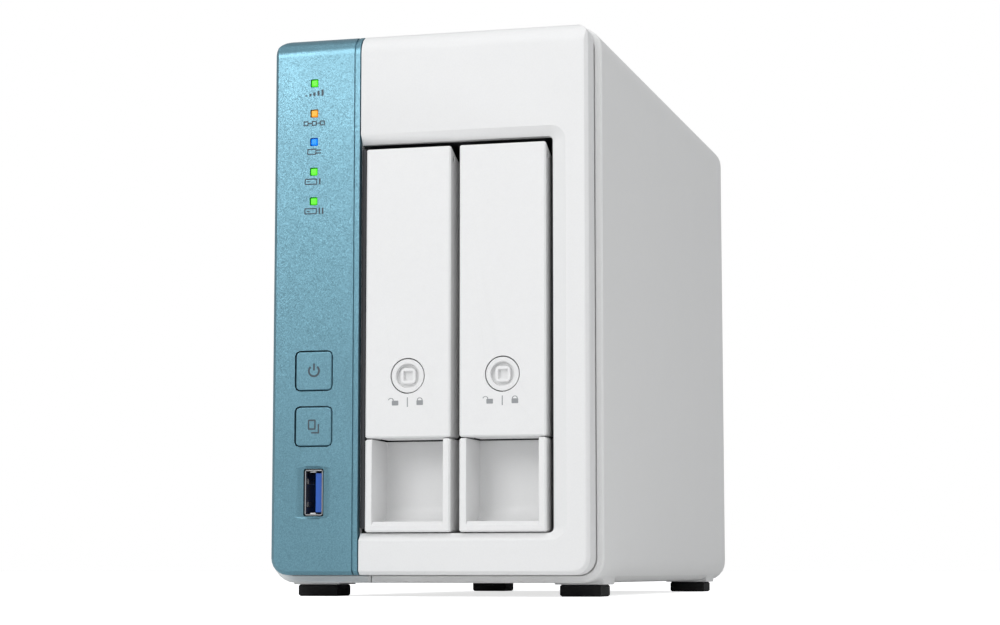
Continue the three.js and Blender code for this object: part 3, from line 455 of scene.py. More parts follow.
@dataclass(frozen=True)
class SolderMask:
    """A circuit board's lacquer, with buried tracks and tinned pads."""

    name: str
    slot: str
    colour: Colour
    pitch: float = 1.1

    def make(self) -> bpy.types.Material:
        """Builds the material and returns it."""
        material, tree, shader = material_of(self.name)
        board = EFFECTS.place(tree, Effect.TRACES, Pitch=self.pitch * MM)
        grain = EFFECTS.place(tree, Effect.GRAIN, Size=0.3 * MM)
        ground = between(tree, grain.outputs["Patch"], shaded(self.colour, 0.8), shaded(self.colour, 1.2))
        tracked = between(tree, board.outputs["Trace"], ground, shaded(self.colour, 2.1))
        base = between(tree, board.outputs["Pad"], tracked, (0.62, 0.6, 0.55))
        gloss = put(tree, "MapRange", {0: board.outputs["Pad"], 3: 0.42, 4: 0.28})
        bump = put(tree, "Bump", {"Height": board.outputs["Trace"], "Distance": 0.02 * MM})
        wire(tree, shader, Base_Color=base, Roughness=gloss.outputs[0], Metallic=board.outputs["Pad"],
             Normal=bump.outputs[0])
        return material


class Finish(Enum):
    """Every finish on the tower."""

    CASING = Moulding("Casing_White", "white_plastic", (0.83, 0.83, 0.825), 0.55, grain=0.5, relief=0.02)
    BEZEL = Moulding("Bezel_White", "white_bezel", (0.835, 0.835, 0.835), 0.48, grain=0.42, relief=0.008)
    TEAL = FlakePaint("Accent_Teal", "teal_plastic", (0.15, 0.31, 0.385), metallic=0.78, roughness=0.33)
    CAGE = Moulding("Cage_Grey", "grey_plastic", (0.05, 0.05, 0.055), 0.6, grain=0.6, relief=0.03)
    BLACK = Moulding("Black_Moulding", "black_plastic", (0.018, 0.018, 0.019), 0.5, grain=0.35, relief=0.012)
    BLUE = Moulding("Port_Blue", "blue_plastic", (0.012, 0.1, 0.48), 0.4, grain=0.3, relief=0.006)
    RUBBER = Moulding("Foot_Rubber", "rubber", (0.022, 0.022, 0.023), 0.85, grain=0.4, relief=0.04,
                      specular=0.3)
    PLATED = Metal("Plated_Steel", "plated_steel", (0.6, 0.61, 0.62), 0.32)
    SCREW = Metal("Screw_Zinc", "screw_steel", (0.5, 0.5, 0.51), 0.34, size=0.1, stretch=3.0)
    POWDER = Moulding("Powder_White", "painted_sheet", (0.8, 0.8, 0.795), 0.6, grain=0.8, relief=0.05)
    CAST = Metal("Cast_Aluminium", "cast_aluminium", (0.5, 0.51, 0.52), 0.5, 0.35, 1.0, 0.03)
    BOARD = SolderMask("Board_Green", "circuit_board", (0.012, 0.075, 0.035))
    GREEN = Moulding("Light_Green", "green_light", (0.1, 0.78, 0.02), 0.3, grain=0.8, spread=0.12, glow=0.55)
    ORANGE = Moulding("Light_Orange", "orange_light", (0.95, 0.33, 0.02), 0.3, grain=0.8, spread=0.12,
                      glow=0.55)
    LAMP_BLUE = Moulding("Light_Blue", "blue_light", (0.0, 0.22, 0.95), 0.3, grain=0.8, spread=0.12,
                         glow=0.55)
    SLATE_INK = Moulding("Slate_Ink", "teal_plastic", (0.05, 0.075, 0.095), 0.5, grain=0.25, relief=0.002)
    GREY_INK = Moulding("Grey_Ink", "white_bezel", (0.3, 0.31, 0.32), 0.5, grain=0.25, relief=0.002)
    # The plated steel at half its brightness, for the front port's sleeve and tabs: painted shade for the
    # inside of the socket.
    PORT_STEEL = Metal("Port_Steel_Painted_Shade", "plated_steel", (0.3, 0.305, 0.31), 0.36)
    GOLD = Metal("Contact_Gold", "plated_steel", (0.75, 0.53, 0.2), 0.25, size=0.1)
    CHIP = Moulding("Chip_Resin", "black_plastic", (0.02, 0.02, 0.021), 0.6, grain=0.2, relief=0.01)
    CERAMIC = Moulding("Capacitor_Tan", "circuit_board", (0.32, 0.2, 0.1), 0.5, grain=0.2, relief=0.004)
    SOCKET_WHITE = Moulding("Socket_Cream", "white_bezel", (0.7, 0.68, 0.6), 0.5, grain=0.3, relief=0.006)
    PAPER = Moulding("Blank_Label", "white_bezel", (0.72, 0.72, 0.7), 0.6, grain=0.25, relief=0.004)

    @property
    def material(self) -> bpy.types.Material:
        """The finish's material, made when it is first asked for."""
        return bpy.data.materials.get(self.value.name) or self.value.make()


# ---------------------------------------------------------------- mesh making


def arc(u: float, v: float, radius: float, start: float, end: float, steps: int = 8) -> Outline:
    """Points along an arc.

    Args:
        u, v: its centre.
        radius: its radius.
        start, end: its first and last angles, in degrees.
        steps: straight steps along it.

    Returns:
        The points.
    """
    angles = [math.radians(start + (end - start) * i / steps) for i in range(steps + 1)]
    return [(u + radius * math.cos(a), v + radius * math.sin(a)) for a in angles]


def rounded(u: float, v: float, wide: float, high: float, radius: float, steps: int = 4) -> Outline:
    """A rounded rectangle about a centre.

    Args:
        u, v: its centre.
        wide, high: its size.
        radius: its corner radius.
        steps: straight steps in each corner.

    Returns:
        The outline, anticlockwise.
    """
    points: Outline = []
    for sign_u, sign_v, start in ((1, -1, -90), (1, 1, 0), (-1, 1, 90), (-1, -1, 180)):
        centre = (u + sign_u * (wide / 2 - radius), v + sign_v * (high / 2 - radius))
        points += arc(*centre, radius, start, start + 90, steps)
    return points


class Mesher:
    """Gathers closed shells in millimetres of the row frame, and makes one piece of them."""

    def __init__(self) -> None:
        """Starts an empty mesh."""
        self.bm = bmesh.new()
        self.finishes: list[Finish] = []

    def _take(self, faces: Iterable[bmesh.types.BMFace], finish: Finish) -> None:
        """Gives the faces a finish."""
        if finish not in self.finishes:
            self.finishes.append(finish)
        for face in faces:
            face.material_index = self.finishes.index(finish)

    def _bevel(self, faces: Sequence[bmesh.types.BMFace], edge: float) -> list[bmesh.types.BMFace]:
        """Rounds every sharp edge of a shell.

        Args:
            faces: the shell's faces.
            edge: the radius, in millimetres.

        Returns:
            Its faces afterwards.
        """
        if edge <= 0:
            return list(faces)
        edges = {e for face in faces for e in face.edges}
        sharp = [e for e in edges if e.is_manifold and e.calc_face_angle() > SHARP]
        before = set(self.bm.faces) - set(faces)
        bmesh.ops.bevel(self.bm, geom=sharp, offset=edge, segments=BEVEL_STEPS, profile=0.5, affect="EDGES")
        return [face for face in self.bm.faces if face not in before]

    def prism(self, outline: Outline, low: float, high: float, plane: Plane, finish: Finish,
              edge: float = 0.0) -> "Mesher":
        """Adds an outline drawn out into a solid.

        Args:
            outline: its points, in millimetres.
            low, high: where it starts and ends across the plane.
            plane: the plane the outline is drawn in.
            finish: its finish.
            edge: the radius its edges are rounded to.

        Returns:
            This mesher.
        """
        rings = []
        for depth in (low, high):
            ring = []
            for u, v in outline:
                place = [0.0, 0.0, 0.0]
                place[plane.value[0]], place[plane.value[1]], place[plane.value[2]] = u, v, depth
                ring.append(self.bm.verts.new(place))
            rings.append(ring)
        faces = [self.bm.faces.new(ring) for ring in rings]
        count = len(outline)
        for i in range(count):
            j = (i + 1) % count
            faces.append(self.bm.faces.new((rings[0][i], rings[0][j], rings[1][j], rings[1][i])))
        bmesh.ops.recalc_face_normals(self.bm, faces=faces)
        self._take(self._bevel(faces, edge), finish)
        return self

    def block(self, low: Point, high: Point, finish: Finish, edge: float = 0.0) -> "Mesher":
        """Adds a block between two corners, with rounded edges, and returns this mesher."""
        outline = [(low[0], low[2]), (high[0], low[2]), (high[0], high[2]), (low[0], high[2])]
        return self.prism(outline, low[1], high[1], Plane.FRONT, finish, edge)

    def rod(self, u: float, v: float, radius: float, low: float, high: float, plane: Plane, finish: Finish,
            edge: float = 0.0, steps: int = 24) -> "Mesher":
        """Adds a round rod that stands across the plane.

        Args:
            u, v: its centre in the plane.
            radius: its radius.
            low, high: its ends.
            plane: the plane it stands across.
            finish: its finish.
            edge: the radius of its rims.
            steps: its number of sides.

        Returns:
            This mesher.
        """
        return self.prism(arc(u, v, radius, 0, 360, steps)[:-1], low, high, plane, finish, edge)

    def band(self, outer: Outline, inner: Outline, low: float, high: float, plane: Plane, finish: Finish,
             closed: bool = True) -> "Mesher":
        """Adds a band between two outlines of equal point count.

        Args:
            outer, inner: its two edges.
            low, high: its two faces.
            plane: the plane it is drawn in.
            finish: its finish.
            closed: whether it runs all the way round.

        Returns:
            This mesher.
        """
        count = len(outer)
        for i in range(count if closed else count - 1):
            j = (i + 1) % count
            self.prism([outer[i], outer[j], inner[j], inner[i]], low, high, plane, finish)
        return self

    def piece(self, name: str, body: str, slot: str | None = None, smooth: bool = True) -> bpy.types.Object:
        """Makes the piece.

        Args:
            name: its name.
            body: the body it rides on.
            slot: a material slot name; not used.
            smooth: whether its round faces are shaded smooth.

        Returns:
            The new object.
        """
        bmesh.ops.remove_doubles(self.bm, verts=self.bm.verts, dist=1e-4)
        bmesh.ops.scale(self.bm, vec=(MM, MM, MM), verts=self.bm.verts)
        return make_object(self.bm, name, self.finishes, body, smooth)


def make_object(bm: bmesh.types.BMesh, name: str, finishes: Sequence[Finish], body: str,
                smooth: bool = True, crease: float = SHARP,
                eased: frozenset = frozenset()) -> bpy.types.Object:
    """Turns a mesh into a piece that rides on a body.

    Args:
        bm: the mesh, in metres; it is freed.
        name: the piece's name.
        finishes: its finishes, by material index.
        body: the body it rides on.
        smooth: whether faces that meet at a slight angle are shaded smooth.
        crease: the angle above which an edge stays a crisp line.
        eased: the faces of rounded edges, which are always shaded smooth.

    Returns:
        The new object.
    """
    for edge in bm.edges:
        crisp = edge.is_manifold and edge.calc_face_angle() > crease
        edge.smooth = not crisp or not eased.isdisjoint(edge.link_faces)
    for face in bm.faces:
        face.smooth = smooth
    mesh = bpy.data.meshes.new(name)
    bm.to_mesh(mesh)
    bm.free()
    if "custom_normal" in mesh.attributes:
        mesh.attributes.remove(mesh.attributes["custom_normal"])
    for finish in finishes:
        mesh.materials.append(finish.material)
    piece = bpy.data.objects.new(name, mesh)
    bpy.context.scene.collection.objects.link(piece)
    if smooth:
        even = piece.modifiers.new("Even_Shading", "WEIGHTED_NORMAL")
        even.keep_sharp = True
    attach(piece, body)
    return piece


def body_of(node: str) -> str:
    """Returns the body a CAD node rides on."""
    return frame["nodes"][node]["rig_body"]


def span(node: str) -> tuple[Vector, Vector]:
    """Returns a CAD node's lowest and highest corners, in millimetres."""
    low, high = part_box(node)
    return low / MM, high / MM


def folded_area(bm: bmesh.types.BMesh) -> float:
    """Measures how much of a mesh is folded over itself.

    Args:
        bm: the mesh, in metres.

    Returns:
        The area of triangles turned against their face and of faces turned back on a neighbour, in mm2.
    """
    bm.normal_update()
    area = 0.0
    for loops in bm.calc_loop_triangles():
        a, b, c = (loop.vert.co for loop in loops)
        cross = (b - a).cross(c - a)
        if cross.dot(loops[0].face.normal) < 0:
            area += cross.length / 2
    for edge in bm.edges:
        if edge.is_manifold and edge.calc_face_angle() > TURNED_BACK:
            area += min(face.calc_area() for face in edge.link_faces)
    return area / MM**2


def eased_shell(node: str, edge: float, split: bool) -> tuple[bmesh.types.BMesh, set]:
    """Copies a CAD node with its flat faces joined and its sharp edges rounded, where there is room.

    Args:
        node: the CAD node.
        edge: the radius of its edges, in millimetres.
        split: whether wide faces are cut into triangles before the edges are rounded.

    Returns:
        The mesh, and the faces of its rounded edges.
    """
    bm = bmesh.new()
    bm.from_mesh(frame["nodes"][node].data)
    bmesh.ops.remove_doubles(bm, verts=bm.verts, dist=WELD)
    bmesh.ops.dissolve_limit(bm, angle_limit=FLAT, verts=bm.verts, edges=bm.edges)
    if split:
        bmesh.ops.triangulate(bm, faces=[f for f in bm.faces if len(f.verts) > 4], ngon_method="BEAUTY")
    if edge <= 0:
        return bm, set()
    tight = {v for v in bm.verts if min(e.calc_length() for e in v.link_edges) < ROOM * edge * MM}
    sharp = [e for e in bm.edges if e.is_manifold and e.calc_face_angle() > SHARP]
    free = [e for e in sharp if tight.isdisjoint(e.verts)]
    made = bmesh.ops.bevel(bm, geom=free, offset=edge * MM, segments=BEVEL_STEPS, profile=0.5, affect="EDGES")
    return bm, set(made["faces"])


def farthest(bm: bmesh.types.BMesh, surface: BVHTree) -> float:
    """Returns how far a mesh's farthest point lies from a surface, in millimetres."""
    return max(surface.find_nearest(vert.co)[3] for vert in bm.verts) / MM


def moulded(node: str, finish: Finish, edge: float, sink: float = 0.0,
            crease: float = SHARP) -> bpy.types.Object:
    """Stands a rounded, smoothly shaded shell in for a CAD node.

    Args:
        node: the CAD node.
        finish: its finish.
        edge: the radius of its edges, in millimetres, made smaller where a face would fold over itself.
        sink: how far its foremost face is set back, in millimetres, to leave room for print on it.
        crease: the angle above which an edge that isn't rounded stays a crisp line.

    Returns:
        The new piece.
    """
    shell, _ = eased_shell(node, 0.0, False)
    surface = BVHTree.FromBMesh(shell)
    shell.free()
    tries = [(edge / part, split) for part in (1, 2, 4) for split in (False, True)]
    for radius, split in (*tries, (0.0, False)):
        bm, eased = eased_shell(node, radius, split)
        if radius == 0 or folded_area(bm) <= FOLD_LIMIT and farthest(bm, surface) <= radius:
            break
        bm.free()
    if radius < edge:
        LOG.info("%s has edges of %.3f mm, not %.3f", node, radius, edge)
    low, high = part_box(node)
    low.y += sink * MM
    for vertex in bm.verts:
        vertex.co = [min(max(part, least), most) for part, least, most in zip(vertex.co, low, high)]
    for face in bm.faces:
        face.material_index = 0
    wide = [face for face in bm.faces if len(face.verts) > 4]
    eased -= set(wide)
    bmesh.ops.triangulate(bm, faces=wide, ngon_method="BEAUTY")
    piece = make_object(bm, node + "_moulded", [finish], body_of(node), crease=crease, eased=frozenset(eased))
    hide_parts(node)
    return piece


def dress(node: str, finish: Finish) -> bpy.types.Object:
    """Gives a CAD node its finish.

    Args:
        node: the CAD node.
        finish: its finish.

    Returns:
        The node's object.
    """
    piece = frame["nodes"][node]
    piece.data.materials.clear()
    piece.data.materials.append(finish.material)
    return piece


# ---------------------------------------------------------------- casing and feet


@dataclass
class Casing:
    """The white right-hand shell, the left cover and the four rubber feet."""

    edge: float = 0.45
    foot_edge: float = 0.35
    feet: tuple[str, ...] = ("front_left_foot", "front_right_foot", "rear_left_foot", "rear_right_foot")

    def build(self) -> list[bpy.types.Object]:
        """Builds the casing and returns its pieces."""
        shells = [moulded(node, Finish.CASING, self.edge) for node in ("main_shell", "left_cover")]
        feet = [moulded(node, Finish.RUBBER, self.foot_edge) for node in self.feet]
        return shells + feet


# ---------------------------------------------------------------- front


class Sign(Enum):
    """The plain sign printed under each light, by the light's name."""

    LEVEL = "status"
    LINK = "network"
    PLUG = "port"
    FIRST_DISK = "disk_1"
    SECOND_DISK = "disk_2"


@dataclass
class Print:
    """Symbols printed on the front, as thin films of ink."""

    proud: float = 0.02
    film: float = 0.06
    stroke: float = 0.6
    fine: float = 0.35
    sign_high: float = 1.9
    slate: Finish = Finish.SLATE_INK

    def on(self, face: float) -> tuple[float, float]:
        """Returns the near and far Y of ink on a face at this Y."""
        return face - self.proud, face - self.proud + self.film

    def outline(self, ink: Mesher, u: float, v: float, face: float, wide: float, high: float) -> None:
        """Draws the outline of a small rounded box.

        Args:
            ink: the mesher it goes into.
            u, v: its centre.
            face: the Y of the face it is printed on.
            wide, high: its size.
        """
        near, far = self.on(face)
        inside = rounded(u, v, wide - 2 * self.fine, high - 2 * self.fine, 0.06)
        ink.band(rounded(u, v, wide, high, 0.22), inside, near, far, Plane.FRONT, self.slate)

    def bar(self, ink: Mesher, u: float, v: float, face: float, wide: float, high: float) -> None:
        """Draws a filled bar round a centre."""
        near, far = self.on(face)
        ink.block((u - wide / 2, near, v - high / 2), (u + wide / 2, far, v + high / 2), self.slate)

    def power(self, u: float, v: float, face: float, radius: float = 1.9) -> Mesher:
        """Draws a ring open at the top with a bar in the gap.

        Args:
            u, v: its centre.
            face: the Y of the face it is printed on.
            radius: the ring's outer radius.

        Returns:
            The mesher that holds it.
        """
        near, far = self.on(face)
        ink = Mesher()
        outer = arc(u, v, radius, 130, 410, 28)
        inner = arc(u, v, radius - self.stroke, 130, 410, 28)
        ink.band(outer, inner, near, far, Plane.FRONT, self.slate, closed=False)
        self.bar(ink, u, v + radius * 0.62, face, self.stroke, radius * 1.1)
        return ink

    def sheets(self, u: float, v: float, face: float, wide: float = 2.5, high: float = 3.1) -> Mesher:
        """Draws one page outline, with the lower right edges of a second page behind it.

        Args:
            u, v: the pair's centre.
            face: the Y of the face it is printed on.
            wide, high: each page's size.

        Returns:
            The mesher that holds them.
        """
        near, far = self.on(face)
        ink, line, shift = Mesher(), self.stroke * 0.8, 0.55
        left, top = u - shift, v + shift
        inside = rounded(left, top, wide - 2 * line, high - 2 * line, 0.12)
        ink.band(rounded(left, top, wide, high, 0.35), inside, near, far, Plane.FRONT, self.slate)
        right, low = u + shift + wide / 2, v - shift - high / 2
        ink.block((right - line, near, low), (right, far, low + high - 0.25), self.slate)
        ink.block((u - wide / 2 + shift, near, low), (right - line, far, low + line), self.slate)
        return ink

    def sign(self, u: float, v: float, face: float, kind: Sign) -> Mesher:
        """Draws the plain sign under a light.

        Args:
            u, v: the sign's centre.
            face: the Y of the face it is printed on.
            kind: which sign.

        Returns:
            The mesher that holds it.
        """
        ink, tall = Mesher(), self.sign_high
        if kind is Sign.LEVEL:
            for step in range(5):
                high = tall * (step + 1) / 5
                self.bar(ink, u + (step - 2) * 1.3, v - (tall - high) / 2, face, 0.7, high)
        elif kind is Sign.LINK:
            for step in (-1, 0, 1):
                self.outline(ink, u + step * 2.6, v, face, 1.6, tall * 0.8)
            for side in (-1.3, 1.3):
                self.bar(ink, u + side, v, face, 1.0, self.fine)
        elif kind is Sign.PLUG:
            self.outline(ink, u - 0.7, v, face, 2.9, tall)
            for side in (-0.45, 0.45):
                self.bar(ink, u + 1.5, v + side, face, 1.5, self.fine)
        else:
            marks = 1 if kind is Sign.FIRST_DISK else 2
            self.outline(ink, u - 0.9, v, face, 4.0, tall)
            self.bar(ink, u - 1.7, v, face, 0.9, self.fine)
            for step in range(marks):
                self.bar(ink, u + 1.9 + step * 1.0, v, face, self.fine * 1.5, tall)
        return ink

    def padlock(self, u: float, v: float, face: float, ink: Mesher, opened: bool) -> None:
        """Draws a small padlock.

        Args:
            u, v: the centre of its case.
            face: the Y of the face it is printed on.
            ink: the mesher it goes into.
            opened: whether its shackle is swung out.
        """
        near, far = self.on(face)
        grey, wide, high, line = Finish.GREY_INK, 2.0, 1.4, 0.28
        ink.prism(rounded(u, v, wide, high, 0.2), near, far, Plane.FRONT, grey)
        reach, rise, foot = 0.85, 0.75, v + high / 2 - 0.02
        at = u - 1.3 if opened else u
        leg = foot + 0.2
        outer = [(x, leg + z * rise) for x, z in arc(at, 0, reach, 180, 0, 10)]
        inner = [(x, leg + z * rise) for x, z in arc(at, 0, reach - line, 180, 0, 10)]
        start = leg if opened else foot
        outer = [(outer[0][0], start - 0.001), *outer, (outer[-1][0], foot)]
        inner = [(inner[0][0], start - 0.001), *inner, (inner[-1][0], foot)]
        ink.band(outer, inner, near, far, Plane.FRONT, grey, closed=False)


@dataclass
class FrontBezel:
    """The white front block round the drive bays."""

    edge: float = 0.3

    def build(self) -> list[bpy.types.Object]:
        """Builds the bezel and returns its pieces."""
        return [moulded("front_bezel", Finish.BEZEL, self.edge, crease=CRISP)]


@dataclass
class ControlPanel:
    """The teal panel with its lights, buttons, front port, circuit board and symbols."""

    edge: float = 0.12
    sink: float = 0.04
    mark_drop: float = 3.0
    prints: Print = field(default_factory=Print)
    lights: dict[str, Finish] = field(default_factory=lambda: {
        "status": Finish.GREEN, "network": Finish.ORANGE, "port": Finish.LAMP_BLUE,
        "disk_1": Finish.GREEN, "disk_2": Finish.GREEN,
    })

    def build(self) -> list[bpy.types.Object]:
        """Builds the panel and everything on it.

        Returns:
            Its pieces.
        """
        panel = moulded("accent_panel", Finish.TEAL, self.edge, sink=self.sink, crease=CRISP)
        made = [panel]
        face = span("accent_panel")[0].y + self.sink
        for name, finish in self.lights.items():
            low, high = span(name + "_light")
            made.append(moulded(name + "_light", finish, 0.12))
            centre = (low + high) / 2
            ink = self.prints.sign(centre.x, centre.z - self.mark_drop, face, Sign(name))
            made.append(ink.piece(name + "_mark", "enclosure", smooth=False))
        for name, draw in (("power", self.prints.power), ("copy", self.prints.sheets)):
            low, high = span(name + "_button")
            centre = (low + high) / 2
            made.append(moulded(name + "_button", Finish.TEAL, self.edge, sink=self.sink))
            ink = draw(centre.x, centre.z, low.y + self.sink)
            made.append(ink.piece(name + "_symbol", body_of(name + "_button"), smooth=False))
            made.append(dress(name + "_switch", Finish.BLACK))
        made.append(dress("front_board", Finish.BOARD))
        made.append(self._board_parts())
        # The front port's sleeve and tabs use the darkened steel, painted shade for the inside of the socket.
        port = UsbPort("front_usb", "front_usb_sleeve", "front_usb_core", Finish.BLUE, -1, Finish.PORT_STEEL)
        made += port.build()
        return made

    def _board_parts(self) -> bpy.types.Object:
        """Builds the small parts soldered to the front board.

        Returns:
            The piece that holds them.
        """
        low, high = span("front_board")
        parts = Mesher()
        for name in self.lights:
            at = sum(span(name + "_light"), Vector()) / 2
            parts.block((at.x - 1.4, low.y - 0.9, at.z - 0.9), (at.x + 1.4, low.y, at.z + 0.9),
                        Finish.SOCKET_WHITE, 0.1)
            parts.block((at.x - 1.8, low.y - 0.3, at.z - 0.6), (at.x - 1.4, low.y, at.z + 0.6), Finish.PLATED)
            parts.block((at.x + 4, high.y, at.z - 0.4), (at.x + 6, high.y + 0.6, at.z + 0.4),
                        Finish.CERAMIC, 0.08)
        for step in range(4):
            z = low.z + 12 + step * 30
            parts.block((low.x + 3, high.y, z), (low.x + 9, high.y + 1.2, z + 7), Finish.CHIP, 0.15)
            for leg in range(5):
                foot = z + 0.8 + leg * 1.25
                parts.block((low.x + 9, high.y, foot), (low.x + 10, high.y + 0.3, foot + 0.5), Finish.PLATED)
        return parts.piece("front_board_parts", "enclosure", "circuit_board")


@dataclass
class UsbPort:
    """A USB socket: its folded sleeve with sprung tabs, its coloured core and the contacts on it."""

    name: str
    sleeve: str
    core: str
    finish: Finish
    facing: int
    steel: Finish = Finish.PLATED
    tab: float = 1.5
    tongue: float = 1.9

    def build(self) -> list[bpy.types.Object]:
        """Builds the socket.

        Returns:
            Its pieces.
        """
        made = [moulded(self.sleeve, self.steel, 0.08), moulded(self.core, self.finish, 0.1)]
        low, high = span(self.sleeve)
        core_low, core_high = span(self.core)
        mouth = low.y if self.facing < 0 else high.y
        tip = core_low.y if self.facing < 0 else core_high.y
        middle = (low.z + high.z) / 2
        parts = Mesher()
        left = core_high.x - self.tongue
        for step in range(4):
            z = middle - 3.75 + step * 2.5
            near, far = sorted((tip - self.facing * 0.5, tip - self.facing * 8.5))
            parts.block((left - 0.12, near, z - 0.5), (left + 0.05, far, z + 0.5), Finish.GOLD, 0.04)
        for z in (middle - 3.4, middle + 3.4):
            near, far = sorted((mouth - self.facing * 1.2, mouth - self.facing * 7.0))
            parts.block((low.x + 0.38, near, z - self.tab / 2), (low.x + 0.75, far, z + self.tab / 2),
                        self.steel, 0.1)
        # Bright plated bars at the top and bottom just inside the mouth. At the front port, whose sleeve is
        # the darkened steel, they are painted highlights for the lit ends of the sleeve.
        near, far = sorted((mouth - self.facing * 0.7, mouth - self.facing * 4.5))
        for z in (low.z + 0.62, high.z - 0.62):
            parts.block((low.x + 1.5, near, z - 0.2), (low.x + 3.3, far, z + 0.2), Finish.PLATED, 0.06)
        made.append(parts.piece(self.name + "_contacts", "enclosure", "plated_steel"))
        return made


# ---------------------------------------------------------------- drives and trays


@dataclass
class Drive:
    """A hard disk: cast body, pressed lid with its motor ring and screws, and circuit board."""

    number: int
    label: tuple[float, float] = (52.0, 66.0)

    def build(self) -> list[bpy.types.Object]:
        """Builds the drive.

        Returns:
            Its pieces.
        """
        stem = f"drive_{self.number}_"
        body = body_of(stem + "body")
        made = [
            moulded(stem + "body", Finish.CAST, 0.3),
            moulded(stem + "cover", Finish.PLATED, 0.12),
            dress(stem + "board", Finish.BOARD),
        ]
        low, high = span(stem + "cover")
        lid = Mesher()
        mid_y, mid_z = (low.y + high.y) / 2, (low.z + high.z) / 2
        face = high.x
        for y in (low.y + 5, mid_y, high.y - 5):
            for z in (low.z + 5, high.z - 5):
                lid.rod(y, z, 2.3, face - 0.35, face - 0.02, Plane.SIDE, Finish.SCREW, 0.1)
        ring = arc(mid_y - 8, mid_z, 38, 0, 360, 48)[:-1]
        inner = arc(mid_y - 8, mid_z, 36.8, 0, 360, 48)[:-1]
        lid.band(ring, inner, face - 0.2, face - 0.01, Plane.SIDE, Finish.PLATED)
        label = rounded(mid_y - 8, mid_z, *self.label, 2)
        lid.prism(label, face - 0.2, face - 0.06, Plane.SIDE, Finish.PAPER)
        made.append(lid.piece(stem + "lid_parts", body, "plated_steel"))
        low, high = span(stem + "board")
        parts = Mesher()
        for y, z, wide, tall in ((30, 30, 16, 16), (60, 58, 12, 12), (62, 26, 9, 7), (22, 66, 11, 8)):
            near, far = (low.y + y, low.z + z), (low.y + y + wide, low.z + z + tall)
            parts.block((low.x + 0.02, *near), (low.x + 0.3, *far), Finish.CHIP, 0.08)
        for step in range(9):
            at = low.y + 14 + step * 8
            parts.block((low.x + 0.02, at, low.z + 8), (low.x + 0.25, at + 2, low.z + 9.2),
                        Finish.CERAMIC, 0.05)
        made.append(parts.piece(stem + "board_parts", body, "circuit_board"))
        return made


@dataclass
class DriveTray:
    """A drive tray: carrier, finger grip, swinging lever with its pin, and key lock."""

    number: int
    edge: float = 0.12
    sink: float = 0.04
    icon_drop: float = 8.0
    icon_reach: float = 3.8
    prints: Print = field(default_factory=Print)

    def build(self) -> list[bpy.types.Object]:
        """Builds the tray.

        Returns:
            Its pieces.
        """
        stem = f"tray_{self.number}_"
        made = [
            moulded(stem + "carrier", Finish.CAGE, 0.2),
            moulded(stem + "grip", Finish.BEZEL, self.edge),
            moulded(stem + "lever", Finish.BEZEL, self.edge, sink=self.sink),
            moulded(stem + "lock", Finish.BEZEL, 0.18),
            moulded(stem + "hinge_pin", Finish.SCREW, 0.1),
        ]
        made += [self._icons(stem), self._drive_screws(stem)]
        return made + Drive(self.number).build()

    def _icons(self, stem: str) -> bpy.types.Object:
        """Prints the open and closed padlocks below the lock.

        Args:
            stem: the start of the tray's node names.

        Returns:
            The piece that holds them.
        """
        low, high = span(stem + "lock")
        face = span(stem + "lever")[0].y + self.sink
        u = (low.x + high.x) / 2
        v = low.z + 5 - self.icon_drop
        ink = Mesher()
        self.prints.padlock(u - self.icon_reach, v, face, ink, opened=True)
        self.prints.padlock(u + self.icon_reach, v, face, ink, opened=False)
        near, far = self.prints.on(face)
        ink.block((u - 0.15, near, v - 1.2), (u + 0.15, far, v + 1.6), Finish.GREY_INK)
        return ink.piece(stem + "lock_marks", body_of(stem + "lever"), smooth=False)

    def _drive_screws(self, stem: str) -> bpy.types.Object:
        """Builds the eight screws that hold the drive between the rails.

        Args:
            stem: the start of the tray's node names.

        Returns:
            The piece that holds them.
        """
        low, high = span(stem + "carrier")
        drive = span(f"drive_{self.number}_body")
        x = (low.x + high.x) / 2
        parts = Mesher()
        for y in (drive[0].y + 28, drive[1].y - 18):
            for z, inward in ((drive[0].z - 3, 1), (drive[1].z + 3, -1)):
                for side in (-7.5, 7.5):
                    ends = sorted((z - inward * 0.35, z + inward * 0.6))
                    parts.rod(x + side, y, 2.6, *ends, Plane.TOP, Finish.SCREW, 0.15, 18)
        return parts.piece(stem + "drive_screws", body_of(stem + "carrier"), "screw_steel")


# ---------------------------------------------------------------- inside


